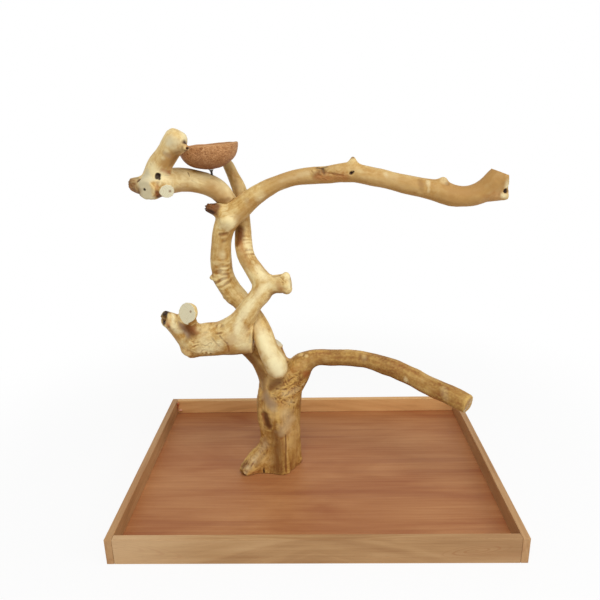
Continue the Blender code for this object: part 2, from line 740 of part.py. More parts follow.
def bore_for(item, point, direction, radius, start, end):
    bore = new_object("bore", rod_mesh("bore", radius, start, end), collection=cutters)
    aim(bore, point, direction)
    return boolean(item, bore)


def joint_screws(name, places, length, outer, inner):
    # Each place is the head's seat inside the outer limb and the way the screw is driven
    mesh = headed_mesh(name, SCREW_RADIUS, length, SCREW_HEAD_RADIUS, SCREW_HEAD_HEIGHT,
                       SCREW_FLANGE_HEIGHT)
    copies(name, mesh, places, dark_steel)
    hole_end = length + 2 * SCREW_RADIUS + 2 * GAP
    for point, direction in places:
        for wood_piece in (outer, inner):
            bore_for(wood_piece, point, direction, SCREW_RADIUS + GAP, -CUT_PAST, hole_end)
        bore_for(outer, point, direction, SCREW_FLANGE_RADIUS + 2 * GAP, -DRIVER_REACH, GAP)
    keep_largest(outer)
    keep_largest(inner)


dark_steel = steel("dark steel", (0.10, 0.095, 0.09))
forward = Vector((0, -1, 0))

# Stump to foot, from behind
foot_seat = SCREW_HEAD_DEPTH * TRUNK_TOP_SHARE * TRUNK_RADIUS
foot_length = foot_seat - FOOT_DEPTH - 0.2 * MAIN_LIMB_RADIUS
joint_screws(
    "foot_screw",
    [(tree_point(0, 232, foot_seat), forward), (tree_point(9, 248, foot_seat - 6 * UNIT), forward)],
    foot_length, trunk, main_limb)

# Arm to burl, from behind
arm_seat = ARM_DEPTH + SCREW_HEAD_DEPTH * ARM_RADIUS
arm_length = arm_seat - Y_DEPTH + SCREW_END
joint_screws(
    "arm_screw",
    [(tree_point(-66, 276, arm_seat), forward), (tree_point(-84, 290, arm_seat - 1 * UNIT), forward)],
    arm_length, trunk, y_limb)

# Main limb to Y limb where they cross, from behind
crossing_seat = CROSSING_DEPTH + SCREW_HEAD_DEPTH * MAIN_LIMB_RADIUS
joint_screws(
    "crossing_screw",
    [(tree_point(-49, 346, crossing_seat), forward)],
    crossing_seat - Y_DEPTH + SCREW_END, main_limb, y_limb)

# Y limb to the fork, from behind
fork_seat = Y_BACK_DEPTH + SCREW_HEAD_DEPTH * Y_TOP_SHARE * Y_LIMB_RADIUS
joint_screws(
    "fork_screw",
    [(tree_point(-56, 541, fork_seat), forward)],
    fork_seat - FORK_DEPTH + SCREW_END, y_limb, main_limb)

# Top-left perch down into the fork, from its back
perch_screw_start = tree_point(-93, 589, FORK_DEPTH + 13 * UNIT)
perch_screw_end = tree_point(-72, 525, FORK_DEPTH)
perch_screw_run = perch_screw_end - perch_screw_start
joint_screws(
    "perch_screw",
    [(perch_screw_start, perch_screw_run)],
    perch_screw_run.length - SCREW_END, top_left_perch, main_limb)

# Bolts up through the panel into the stump, with wide washers
bolt_places = []
washer_places = []
for number in range(BOLT_COUNT):
    turn = 2 * math.pi * (number + 0.25) / BOLT_COUNT
    x = TREE_X + BOLT_SHIFT + BOLT_CIRCLE * math.cos(turn)
    y = TREE_Y + BOLT_CIRCLE * math.sin(turn)
    seat = PANEL_RAISE - WASHER_THICKNESS - 2 * GAP
    bolt_places.append((Vector((x, y, seat)), Vector((0, 0, 1))))
    washer_places.append((Vector((x, y, PANEL_RAISE - WASHER_THICKNESS - GAP)), Vector((0, 0, 1))))
bolt_length = PANEL_TOP - PANEL_RAISE + WASHER_THICKNESS + BOLT_GRIP_IN_STUMP
copies("trunk_bolt",
       headed_mesh("trunk_bolt", BOLT_RADIUS, bolt_length, BOLT_HEAD_RADIUS, BOLT_HEAD_HEIGHT),
       bolt_places, bright_steel)
for point, direction in bolt_places:
    end = bolt_length + 2 * BOLT_RADIUS + GAP
    bore_for(trunk, point, direction, BOLT_RADIUS + GAP, 0, end)
    bore_for(base_panel, point, direction, BOLT_RADIUS + GAP, 0, end)


def ring_mesh(name, outer, inner, thickness, sides=20):
    item = new_object("ring", rod_mesh(name, outer, 0, thickness, sides), collection=cutters)
    return bore_for(item, Vector((0, 0, 0)), (0, 0, 1), inner, -CUT_PAST, thickness + CUT_PAST).data


copies("trunk_washer",
       ring_mesh("trunk_washer", WASHER_RADIUS, BOLT_RADIUS + GAP, WASHER_THICKNESS),
       washer_places, bright_steel)


# Bowl, turning on its bolt

bowl_frame = bpy.data.objects.new("bowl_frame", None)
stand.objects.link(bowl_frame)
bowl_frame.location = (TREE_X + BOWL_X, TREE_Y + BOWL_Y, PANEL_TOP + BOWL_Z)
bowl_frame.rotation_euler = (0, -BOWL_TILT, 0)


def bowl_profile():
    # Down the outside from the rim, across the flat under the washer, and up the inside
    power = 2 / BOWL_FULLNESS
    flat = BOWL_WASHER_RADIUS + 2 * GAP
    hole = BOWL_BOLT_RADIUS + GAP
    outside = []
    inside = []
    for number in range(1, BOWL_STEPS + 1):
        turn = math.pi / 2 * number / BOWL_STEPS
        radius = math.sin(turn) ** power
        rise = 1 - max(math.cos(turn), 0) ** power
        if radius * BOWL_RADIUS <= flat:
            continue
        outside.append((radius * BOWL_RADIUS, rise * BOWL_DEPTH))
        inside.append((radius * (BOWL_RADIUS - BOWL_WALL), BOWL_WALL + rise * (BOWL_DEPTH - BOWL_WALL)))
    return list(reversed(outside)) + [(flat, 0), (hole, 0), (hole, BOWL_WALL), (flat, BOWL_WALL)] + inside


def ring_turned(name, profile, steps):
    # A closed profile off the axis
    bm = bmesh.new()
    verts = [bm.verts.new((radius, 0, height)) for radius, height in profile]
    for first, second in zip(verts, verts[1:] + verts[:1]):
        bm.edges.new((first, second))
    bmesh.ops.spin(bm, geom=bm.verts[:] + bm.edges[:], cent=(0, 0, 0), axis=(0, 0, 1),
                   angle=2 * math.pi, steps=steps, use_merge=True)
    bmesh.ops.remove_doubles(bm, verts=bm.verts, dist=WELD)
    return mesh_from(bm, name)


def on_bowl_axis(item):
    item.parent = bowl_frame
    return item


shell = on_bowl_axis(new_object(
    "coconut_bowl", ring_turned("coconut_bowl", bowl_profile(), BOWL_SIDES),
    wood("coconut shell", (0.36, 0.165, 0.08), 0.75)))
for polygon in shell.data.polygons:
    polygon.use_smooth = True

nut_below_top = -BOWL_WASHER_THICKNESS - 2 * GAP
nut_above_bottom = BOWL_WALL + BOWL_WASHER_THICKNESS + 2 * GAP
bolt_bottom = -BOWL_STANDOFF - BOWL_BOLT_IN_PERCH
bolt_top = nut_above_bottom + 0.7 * BOWL_NUT_HEIGHT
on_bowl_axis(new_object(
    "bowl_bolt", rod_mesh("bowl_bolt", BOWL_BOLT_RADIUS, bolt_bottom, bolt_top), dark_steel))


def nut_mesh(name, bottom, top, hole_start, hole_end):
    item = new_object("nut", rod_mesh(name, BOWL_NUT_RADIUS, bottom, top, 6), collection=cutters)
    return bore_for(item, Vector((0, 0, 0)), (0, 0, 1), BOWL_BOLT_RADIUS + GAP, hole_start, hole_end).data


on_bowl_axis(new_object(
    "bowl_lower_nut",
    nut_mesh("lower_nut", nut_below_top - BOWL_NUT_HEIGHT, nut_below_top,
             nut_below_top - BOWL_NUT_HEIGHT - CUT_PAST, CUT_PAST), dark_steel))

cap = new_object("cap", rod_mesh(
    "cap", BOWL_NUT_RADIUS, nut_above_bottom, nut_above_bottom + BOWL_NUT_HEIGHT, 6), collection=cutters)
bm = bmesh.new()
bmesh.ops.create_uvsphere(bm, u_segments=14, v_segments=9, radius=0.8 * BOWL_NUT_RADIUS)
bmesh.ops.translate(bm, vec=(0, 0, nut_above_bottom + 0.9 * BOWL_NUT_HEIGHT), verts=bm.verts)
boolean(cap, new_object("dome", mesh_from(bm, "dome"), collection=cutters), "UNION")
bore_for(cap, Vector((0, 0, 0)), (0, 0, 1), BOWL_BOLT_RADIUS + GAP,
         nut_above_bottom - CUT_PAST, bolt_top + GAP)
on_bowl_axis(new_object("bowl_cap_nut", cap.data, bright_steel))

for name, height in (("bowl_lower_washer", -BOWL_WASHER_THICKNESS - GAP), ("bowl_upper_washer", BOWL_WALL + GAP)):
    washer = on_bowl_axis(new_object(
        name, ring_mesh(name, BOWL_WASHER_RADIUS, BOWL_BOLT_RADIUS + GAP, BOWL_WASHER_THICKNESS),
        bright_steel))
    washer.location = (0, 0, height)

bpy.context.view_layer.update()
bolt_bore = new_object("bolt_bore", rod_mesh(
    "bolt_bore", BOWL_BOLT_RADIUS + GAP, bolt_bottom - GAP, 0), collection=cutters)
bolt_bore.matrix_world = bowl_frame.matrix_world
boolean(top_left_perch, bolt_bore)
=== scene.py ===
import json
import math

import bpy
import numpy as np
from mathutils import Matrix, Vector, noise


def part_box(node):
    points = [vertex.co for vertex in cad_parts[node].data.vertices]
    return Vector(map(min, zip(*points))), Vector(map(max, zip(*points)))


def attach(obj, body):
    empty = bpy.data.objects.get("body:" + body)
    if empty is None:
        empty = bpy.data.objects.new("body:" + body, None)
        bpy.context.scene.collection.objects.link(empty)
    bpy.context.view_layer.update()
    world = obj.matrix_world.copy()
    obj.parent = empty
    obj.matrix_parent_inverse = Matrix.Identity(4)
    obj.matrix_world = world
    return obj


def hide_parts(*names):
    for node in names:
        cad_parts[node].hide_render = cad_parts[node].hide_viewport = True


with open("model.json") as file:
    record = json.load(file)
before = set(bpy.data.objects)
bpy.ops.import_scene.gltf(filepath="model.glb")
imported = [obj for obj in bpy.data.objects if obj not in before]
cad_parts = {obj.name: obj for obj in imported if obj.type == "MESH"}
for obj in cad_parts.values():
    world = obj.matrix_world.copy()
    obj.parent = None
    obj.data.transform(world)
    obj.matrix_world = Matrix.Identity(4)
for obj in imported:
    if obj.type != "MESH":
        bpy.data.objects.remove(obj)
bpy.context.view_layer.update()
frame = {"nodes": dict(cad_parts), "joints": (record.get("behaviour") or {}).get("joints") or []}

nodes = frame["nodes"]
mm = 0.001
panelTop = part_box("base_panel")[1].z
treeOrigin = Vector((-75 * mm, 22 * mm, panelTop))   # middle of the stump, on the panel


def onTree(place):
    # A place on the tree, given in mm: to the right, up, and back from the middle of the stump
    right, up, back = place
    return treeOrigin + Vector((right, back, up)) * mm


# Materials

screenGamma = 2.2
# Stain layers, three of which also carry painted light: the pale one painted highlights, the dark one painted
# shade in holes, cracks and creases, the brown one painted shade under limbs and in a gap
stainAndPaintedLightNames = ("aged", "tan", "grey", "brownStainAndShade", "ruddy", "paleWoodAndHighlight", "darkWoodAndHollowShade")


def shade(color):
    # For a shader's socket, from a colour as it looks on a screen, 0 to 255
    return tuple((part / 255) ** screenGamma for part in color) + (1,)


def joining(operation):
    # What an operator between two wires does
    return lambda wire, other: wire.finish.math(operation, wire, other)


class Wire:
    # A socket of a material; sums, differences, products and powers of wires add Math nodes

    def __init__(self, finish, socket):
        self.finish = finish
        self.socket = socket

    def __rsub__(self, other):
        return self.finish.math("SUBTRACT", other, self)

    __add__ = __radd__ = joining("ADD")
    __mul__ = __rmul__ = joining("MULTIPLY")
    __sub__ = joining("SUBTRACT")
    __pow__ = joining("POWER")


class Nodes:
    # Adds and links the nodes of one material, or of the world

    def __init__(self, tree):
        self.tree = tree

    def add(self, kind, sockets=None, output=0, stops=(), **settings):
        node = self.tree.nodes.new("ShaderNode" + kind)
        for name, value in settings.items():
            setattr(node, name, value)
        for number, (position, color) in enumerate(stops):
            ramp = node.color_ramp.elements
            stop = ramp[number] if number < 2 else ramp.new(position)
            stop.position = position
            stop.color = shade(color)
        for key, value in (sockets or {}).items():
            socket = node.inputs[key]
            if isinstance(value, Wire):
                self.lead(value, socket)
            else:
                socket.default_value = shade(value) if socket.type == "RGBA" else value
        return Wire(self, node.outputs[output])

    def math(self, operation, *values):
        return self.add("Math", dict(enumerate(values)), operation=operation)

    def lead(self, wire, socket):
        self.tree.links.new(wire.socket, socket)

    def seenDirectly(self):
        # 1 for rays from the camera, a mirror or glass, 0 for light that falls on things
        rays = [self.add("LightPath", output=f"Is {ray} Ray") for ray in ("Camera", "Glossy", "Transmission")]
        return rays[0] + rays[1] + rays[2]


class Finish(Nodes):
    # One material, built node by node round its Principled shader

    def __init__(self, name, fixed=None):
        self.material = bpy.data.materials.new(name)
        self.material.use_nodes = True
        super().__init__(self.material.node_tree)
        self.shader = self.tree.nodes["Principled BSDF"]
        for socket, value in (fixed or {}).items():
            self.shader.inputs[socket].default_value = value

    def place(self):
        return self.add("TexCoord", output="Object")

    def painted(self, name, output="Fac"):
        return self.add("Attribute", output=output, attribute_name=name)

    def stretch(self, vector, factors):
        return self.add("VectorMath", {0: vector, 1: factors}, operation="MULTIPLY")

    def moved(self, vector, amount):
        return self.add("VectorMath", {0: vector, 1: amount}, operation="ADD")

    def parts(self, vector):
        return [self.add("SeparateXYZ", {0: vector}, output) for output in range(3)]

    def joined(self, *values):
        return self.add("CombineXYZ", dict(enumerate(values)))

    def speckle(self, vector, scale, detail=3, roughness=0.5, distortion=0):
        return self.add("TexNoise", {"Vector": vector, "Scale": scale, "Detail": detail,
                                     "Roughness": roughness, "Distortion": distortion})

    def band(self, value, low, high):
        # 0 below low, 1 above high, smooth between; low may be the larger
        return self.add("MapRange", {"Value": value, "From Min": low, "From Max": high},
                        interpolation_type="SMOOTHSTEP")

    def toned(self, tone, look, first="deep", last="pale"):
        # The look's colours along the tone: first below its span, body in its middle, last above
        low, high = look["span"]
        stops = [(low, look[first]), (high, look[last]), ((low + high) / 2, look["body"])]
        return self.add("ValToRGB", {0: tone}, stops=stops)

    def mixed(self, first, second, share):
        # The Mix node's colour sockets have to be told by number: 6 and 7 in, 2 out
        return self.add("Mix", {0: share, 6: first, 7: second}, 2, data_type="RGBA", clamp_factor=True)

    def layered(self, color, look, layers):
        # The look's tints laid over the colour one after the other, each with its share
        for tint, share in layers:
            color = self.mixed(color, look[tint], share)
        return color

    def wear(self, color, roughness, height, strength, distance):
        # Joins the finished colour, roughness and relief to the shader
        self.lead(color, self.shader.inputs["Base Color"])
        self.lead(roughness, self.shader.inputs["Roughness"])
        relief = self.add("Bump", {"Strength": strength, "Distance": distance, "Height": height})
        self.lead(relief, self.shader.inputs["Normal"])
        return self.material


def branchWood(name, look):
    # Sandblasted coffee wood: soft mottling, faint grain along the limb, folds, stains, sawn ends, with
    # painted shade in hollows and under the limb and painted highlights on bumps and ridges
    wood = Finish(name, {"Specular IOR Level": 0.3})
    grain = wood.painted("grain", "Vector")
    place = wood.place()
    clouds = wood.speckle(place, look["cloudScale"], 2, 0.5, 0.5)
    mottle = wood.speckle(place, look["cloudScale"] * 4.5, 3, 0.6, 0.8)
    streaks = wood.speckle(wood.stretch(grain, look["streak"]), 1, 3, 0.55, 0.5)
    fibres = wood.speckle(wood.stretch(grain, look["fibre"]), 1, 3, 0.6)
    blotches = wood.band(wood.speckle(place, look["cloudScale"] * 1.7, 2), 0.52, 0.72)
    threads = wood.band(wood.speckle(wood.stretch(grain, look["thread"]), 1, 2), 0.58, 0.72)
    pores = wood.band(wood.speckle(wood.stretch(grain, look["pore"]), 1, 1), 0.66, 0.76)
    bulge, creaseShadeAndEndGrain, folds, undersideShadeAndPores = (wood.painted(part) for part in ("bulge", "creaseShadeAndEndGrain", "fold", "undersideShadeAndPores"))
    color = wood.toned(clouds * 0.45 + mottle * 0.22 + streaks * 0.23 + fibres * 0.1, look)
    # Painted shade in broad hollows, creases, fold troughs and on undersides, and painted highlights on bumps
    # and fold ridges; the ruddy blotches, threads and pores are the wood's own
    color = wood.layered(color, look, [
        ("ruddy", blotches * look["blotches"]),
        ("deep", wood.band(bulge, 0.05, 1) * 0.65), ("ridgeHighlight", wood.band(bulge, -0.15, -1) * 0.45),
        ("undersideShadeAndPores", undersideShadeAndPores * (0.35 + mottle * 0.5)),
        ("deep", threads * look["threads"]), ("undersideShadeAndPores", pores * 0.25),
        ("creaseShadeAndEndGrain", wood.band(creaseShadeAndEndGrain, 0.1, 1) * 0.55), ("ridgeHighlight", wood.band(creaseShadeAndEndGrain, -0.1, -1) * 0.5),
        ("ridgeHighlight", wood.band(folds, 0.08, 0.8) * 0.6), ("creaseShadeAndEndGrain", wood.band(folds, -0.08, -0.8) * 0.5),
    ])
    # A sawn end's attribute holds the offsets from its pith and a mask
    across, along, sawn = wood.parts(wood.painted("cut", "Vector"))
    reach = (across * across + along * along + 0.0000001) ** 0.5
    wobble = wood.speckle(place, 70, 2) * 0.003
    rings = wood.math("SINE", (reach + wobble) * look["ringRate"]) * 0.5 + 0.5
    turn = wood.math("ARCTAN2", along, across)
    rays = wood.band(wood.speckle(wood.joined(turn * 5, reach * 22, 0.5), 1.6, 2), 0.58, 0.72)
    face = wood.mixed(look["cutPale"], look["cutDeep"], rings * 0.75 + fibres * 0.15)
    face = wood.layered(face, look, [
        ("weathered", wood.painted("weathered") * (0.5 + mottle * 0.6)), ("creaseShadeAndEndGrain", rays * 0.12),
        ("creaseShadeAndEndGrain", wood.band(reach, look["pithEdge"], look["pithCore"]) * 0.7),
    ])
    color = wood.mixed(color, face, wood.band(sawn, 0.35, 0.75))
    # The stains, among them painted highlights and painted shade in holes, under limbs and in a gap
    uneven = 0.7 + 0.6 * mottle
    color = wood.layered(color, look, [(stain, wood.painted(stain) * uneven) for stain in stainAndPaintedLightNames])
    rough = 0.44 + 0.2 * mottle + 0.1 * fibres
    height = streaks * 0.4 + fibres * 0.35 - pores * 0.4 - threads * 0.2 + folds * 0.4
    return wood.wear(color, rough, height, look["relief"], 0.0009)


def boardWood(name, look, long):
    # A planed board: uneven rings of a tree whose pith runs along the board, a little askew
    wood = Finish(name, {"Specular IOR Level": 0.4})
    x, y, z = wood.parts(wood.place())
    run, side = (x, y) if long == "x" else (y, x)

    def veins(scales, *detail):
        # Noise drawn out along the board: its scales along, across and up
        place = wood.joined(*(part * scale for part, scale in zip((run, side, z), scales)))
        return wood.speckle(place, 1, *detail)

    sway = veins((3, 9, 9), 2) - 0.5
    pithSide = side - look["pith"][0] + sway * look["sway"]
    pithRise = z - look["pith"][1] + sway * look["sway"] * 0.7
    askew = wood.math("ABSOLUTE", run - look["crown"])
    reach = (pithSide * pithSide + pithRise * pithRise) ** 0.5 + askew * look["taper"]
    rings = wood.speckle(wood.joined(reach * look["ringRate"], run * 0.9, 0.3), 1, 3, 0.55)
    streaks = veins((6, 230, 230), 4, 0.62)
    pores = wood.band(veins((70, 1500, 1500), 1), 0.6, 0.72)
    clouds = veins((4, 14, 14), 3, 0.5, 0.7)
    tone = rings * look["figure"] + streaks * look["streaks"] + clouds * look["clouds"]
    color = wood.toned(tone, look, "pale", "deep")
    bars = wood.band(veins((*look["barScales"], 20), 2), 0.54, 0.7)
    color = wood.mixed(color, look["bar"], bars * look["bars"])
    # A cathedral figure: nested arches round a place, of a length, width and slope
    for middle, height, length, width, slope in look["figures"]:
        offRun = run - middle
        offRise = (z - height - offRun * slope + sway * 0.006) * (1 / width)
        arch = (offRun * offRun * (1 / length ** 2) + offRise * offRise + 0.0001) ** 0.5
        lines = wood.band(wood.math("SINE", arch * 19 + streaks * 2), 0.35, 0.95)
        color = wood.mixed(color, look["bar"], lines * wood.band(arch, 1.25, 0.75) * 0.5)
    for start, end, tint, share in look["tints"]:
        color = wood.mixed(color, tint, wood.band(run, start, end) * share)
    color = wood.mixed(color, look["deep"], pores * 0.3)
    rough = 0.42 + 0.16 * streaks + 0.1 * clouds
    return wood.wear(color, rough, streaks * 0.5 - pores * 0.6 + rings * 0.15, look["relief"], 0.0005)


def shellWood(name, look, foot):
    # Scraped coconut shell: granular and finely fibred, with pits, darker towards its foot
    shell = Finish(name, {"Specular IOR Level": 0.35})
    place = shell.moved(shell.place(), tuple(-part for part in foot))
    grit = shell.speckle(place, 420, 3, 0.75)
    clouds = shell.speckle(place, 70, 4, 0.7, 0.8)
    fibres = shell.speckle(shell.stretch(place, (210, 210, 620)), 1, 3, 0.6, 1)
    cells = shell.add("TexVoronoi", {"Vector": place, "Scale": 560})
    pits = shell.band(cells, 0.26, 0.12)
    scattered = shell.band(shell.speckle(place, 170, 2), 0.42, 0.58)
    elsewhere = shell.moved(place, (1, 2, 3))
    flecks = shell.band(shell.speckle(elsewhere, 640, 2), 0.6, 0.72)
    color = shell.toned(grit * 0.34 + clouds * 0.28 + fibres * 0.38, look)
    color = shell.layered(color, look, [
        ("deep", pits * scattered * 0.8), ("fleck", flecks * 0.45),
        ("foot", shell.band(shell.parts(place)[2], 0.026, 0.001) * 0.8),
        ("inside", shell.painted("inside") * 0.85), ("rim", shell.painted("rim")),
    ])
    return shell.wear(color, 0.52 + 0.25 * clouds, grit * 0.7 + fibres * 0.3 - pits * 0.5, 0.6, 0.0008)


def steel(name, color, roughness, patina):
    # Plated or blackened steel with fine turning marks and a little patina
    metal = Finish(name, {"Metallic": 1})
    place = metal.place()
    clouds = metal.speckle(place, 320, 3, 0.6)
    scratches = metal.speckle(metal.stretch(place, (2600, 2600, 300)), 1, 2)
    tint = metal.mixed(color, patina, metal.band(clouds, 0.48, 0.72) * 0.6)
    rough = roughness + 0.25 * clouds + 0.1 * scratches
    return metal.wear(tint, rough, scratches, 0.25, 0.0002)


# The crease, ridge and underside tints are painted shade and painted highlights; the pale, dark and brown
# marks are partly painted light
coffeeWood = {
    "deep": (178, 130, 62), "body": (208, 170, 102), "pale": (230, 204, 144),
    "span": (0.42, 0.58), "cloudScale": 22, "relief": 0.35, "threads": 0.18,
    "streak": (150, 150, 10), "fibre": (900, 900, 45), "thread": (420, 420, 16), "pore": (1900, 1900, 210),
    "creaseShadeAndEndGrain": (124, 74, 32), "ridgeHighlight": (242, 216, 152), "undersideShadeAndPores": (150, 100, 48),
    "ruddy": (172, 104, 54), "blotches": 0.16, "grey": (158, 132, 108),
    "brownStainAndShade": (116, 72, 34), "tan": (178, 134, 76), "aged": (208, 194, 156), "paleWoodAndHighlight": (250, 236, 186),
    "darkWoodAndHollowShade": (44, 22, 12), "cutPale": (242, 236, 206), "cutDeep": (208, 196, 152),
    "ringRate": 2600, "pithEdge": 0.0034, "pithCore": 0.0012, "weathered": (200, 182, 148),
}
mainLimbWood = branchWood("mainLimbWood", coffeeWood)
yLimbWood = branchWood("yLimbWood", {
    **coffeeWood, "cloudScale": 28, "blotches": 0.22, "body": (208, 172, 108)})
stumpWood = branchWood("stumpWood", {
    **coffeeWood, "deep": (144, 94, 42), "body": (182, 136, 70), "pale": (212, 172, 106),
    "blotches": 0.25, "ridgeHighlight": (232, 192, 108), "creaseShadeAndEndGrain": (104, 60, 26),
    "undersideShadeAndPores": (122, 76, 36), "cloudScale": 18, "paleWoodAndHighlight": (232, 208, 158),
    "grey": (168, 138, 104)})
perchWood = branchWood("topPerchWood", {
    **coffeeWood, "body": (214, 180, 118), "pale": (232, 208, 152), "cloudScale": 16})

rimLook = {
    "pale": (200, 160, 114), "body": (180, 138, 92), "deep": (152, 108, 66),
    "bar": (158, 100, 58), "span": (0.34, 0.68), "figure": 0.34, "streaks": 0.28, "clouds": 0.38,
    "pith": (0.03, -0.05), "sway": 0.016, "crown": 0, "taper": 0.055, "ringRate": 210,
    "barScales": (2, 30), "bars": 0.25, "relief": 0.35, "figures": [], "tints": [],
}
panelLook = {
    **rimLook, "pale": (190, 134, 86), "body": (170, 112, 68), "deep": (148, 84, 48),
    "bar": (140, 78, 46), "span": (0.32, 0.7), "figure": 0.2, "streaks": 0.26, "clouds": 0.54,
    "pith": (0.4, -0.02), "sway": 0.03, "crown": 0.2, "taper": 0.012, "ringRate": 120,
    "barScales": (2, 40), "bars": 0.35, "relief": 0.3,
}
# The back rim's board is painted paler than the other rims, a painted brightening against the shade it stands
# in
backRimPaintedLightWood = boardWood("backRimPaintedLightWood", {
    **rimLook, "pale": (236, 190, 130), "body": (222, 170, 110), "deep": (194, 140, 86)}, "x")
frontRimWood = boardWood("frontRimWood", {
    **rimLook, "figures": [(-0.325, 0.034, 0.095, 0.013, -0.2), (0.268, 0.026, 0.055, 0.011, 0.14)],
    "tints": [(-0.16, -0.32, (214, 176, 130), 0.6), (0.1, 0.32, (158, 116, 76), 0.3)]}, "x")
sideRimWood = boardWood("sideRimWood", {
    **rimLook, "pith": (0.02, -0.03), "body": (182, 138, 92), "pale": (198, 156, 108),
    "taper": 0.03}, "y")
panelWood = boardWood("panelWood", panelLook, "x")

plated = steel("platedSteel", (196, 196, 194), 0.22, (150, 148, 140))
blackened = steel("blackenedSteel", (70, 66, 62), 0.34, (40, 34, 30))
print("materials made")


# Tools for the limbs

# What each kind of mark does to the skin: lift in mm, stains and painted light as shares, and the kinds of
# relief
markKinds = {
    **{name: {name: 1} for name in (*stainAndPaintedLightNames, "wrinkle", "crumple")},
    "swell": {"lift": 1}, "dent": {"lift": -1}, "nub": {"lift": 5, "brownStainAndShade": 0.3},
    "knot": {"lift": 1.2, "paleWoodAndHighlight": 0.5, "wrinkle": 0.5},
    "scar": {"lift": 0.5, "paleWoodAndHighlight": 0.5, "crumple": 0.6},
    # Holes and cracks are pressed in and darkened with painted shade
    "hole": {"lift": -3.5, "darkWoodAndHollowShade": 1.7}, "crack": {"lift": -1, "darkWoodAndHollowShade": 1.1},
    "seam": {"lift": -0.7, "brownStainAndShade": 0.9}, "torn": {"torn": 1, "brownStainAndShade": 0.7},
}

# What all skins share: noise scales per metre, or across and along the limb, and heights in mm
skinning = {
    "waverScale": 110, "waver": 0.35, "swayScale": 45, "sway": 2.2, "batch": 6000, "routeStep": 7,
    "grooves": (120, 120, 8), "pits": 260, "lumps": 48, "warpScale": 60, "warp": (1.6, 0, 3.2),
    "folds": (80, 80, 170), "foldHeights": (0.6, 3, 0.5), "tears": (330, 330, 40), "tearHeights": (4.2, 0.3),
    "ripples": 45, "rippleGain": 2.6, "rippleHeight": 0.45, "least": 0.01,
    "sawn": (0.9, 0.55), "filled": (0.7, 0.15), "creaseRounds": 5, "bulgeRounds": 40,
}


def pickOnly(piece):
    bpy.ops.object.select_all(action="DESELECT")
    piece.select_set(True)
    bpy.context.view_layer.objects.active = piece


def applied(piece, kind, **settings):
    # Adds a modifier and applies it
    pickOnly(piece)
    modifier = piece.modifiers.new(kind.lower(), kind)
    for name, value in settings.items():
        setattr(modifier, name, value)
    bpy.ops.object.modifier_apply(modifier=modifier.name)


def copyOf(node, name):
    # A new piece with the node's mesh, its loose triangles merged
    piece = bpy.data.objects.new(name, nodes[node].data.copy())
    bpy.context.scene.collection.objects.link(piece)
    pickOnly(piece)
    bpy.ops.object.mode_set(mode="EDIT")
    bpy.ops.mesh.select_all(action="SELECT")
    bpy.ops.mesh.remove_doubles(threshold=0.01 * mm)
    bpy.ops.mesh.customdata_custom_splitnormals_clear()
    bpy.ops.object.mode_set(mode="OBJECT")
    return piece


def finished(piece, node, body, material):
    piece.data.shade_smooth()
    piece.data.materials.clear()
    piece.data.materials.append(material)
    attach(piece, body)
    if node:
        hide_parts(node)
    print("made", piece.name, len(piece.data.polygons), "faces")


def corners(piece, name="co"):
    # The vertices' places, or normals, as an array
    values = np.empty(len(piece.data.vertices) * 3, np.float32)
    piece.data.vertices.foreach_get(name, values)
    return values.reshape(-1, 3).astype(float)


def setCorners(piece, places):
    piece.data.vertices.foreach_set("co", places.ravel())


def paint(piece, layers):
    # Writes arrays as attributes of the vertices
    for name, values in layers.items():
        kind, field = ("FLOAT", "value") if values.ndim == 1 else ("FLOAT_VECTOR", "vector")
        attribute = piece.data.attributes.new(name, kind, "POINT")
        attribute.data.foreach_set(field, values.ravel())


def lengths(offsets):
    return np.sqrt((offsets ** 2).sum(1))


def bumps(places, scale=1):
    # Smooth noise at each place
    return np.array([noise.noise(Vector(place) * scale) for place in places])


def smoothRoute(stations):
    # Points every few mm along a smooth curve through the stations
    points = [onTree(place) for place in (stations[0], *stations, stations[-1])]
    curve = []
    for before, first, second, after in zip(points, points[1:], points[2:], points[3:]):
        count = max(int((second - first).length / (skinning["routeStep"] * mm)), 1)
        for part in range(count):
            t = part / count
            curve.append(0.5 * (2 * first + (second - before) * t
                                + (2 * before - 5 * first + 4 * second - after) * t * t
                                + (3 * first - before - 3 * second + after) * t * t * t))
    curve.append(points[-1])
    return curve


def routeFrames(routes):
    # Samples of place, direction, two side directions and run; a branch starts from its parent
    samples = []
    for stations in routes:
        curve = smoothRoute(stations)
        side = Vector((0, -1, 0))
        run = 0
        if samples:
            parent = min(samples, key=lambda sample: (sample[0] - curve[0]).length)
            side = parent[2]
            run = parent[4]
        for number, point in enumerate(curve):
            ahead = curve[min(number + 1, len(curve) - 1)]
            behind = curve[max(number - 1, 0)]
            along = (ahead - behind).normalized()
            side = (side - along * side.dot(along)).normalized()
            if number:
                run += (point - curve[number - 1]).length
            samples.append((point, along, side, along.cross(side), run))
    return samples


def sawFace(places, normals, cut, above, below, facing):
    # A saw cut's normal, the places' offsets from its pith and heights over it, and which lie on it
    pith, direction, reach = cut[:3]
    normal = np.array(Vector(direction).normalized())
    offsets = places - np.array(onTree(pith))
    height = offsets @ normal
    near = (height < above * mm) & (height > -below * mm) & (lengths(offsets) < reach * mm)
    return normal, offsets, height, near & (normals @ normal > facing)


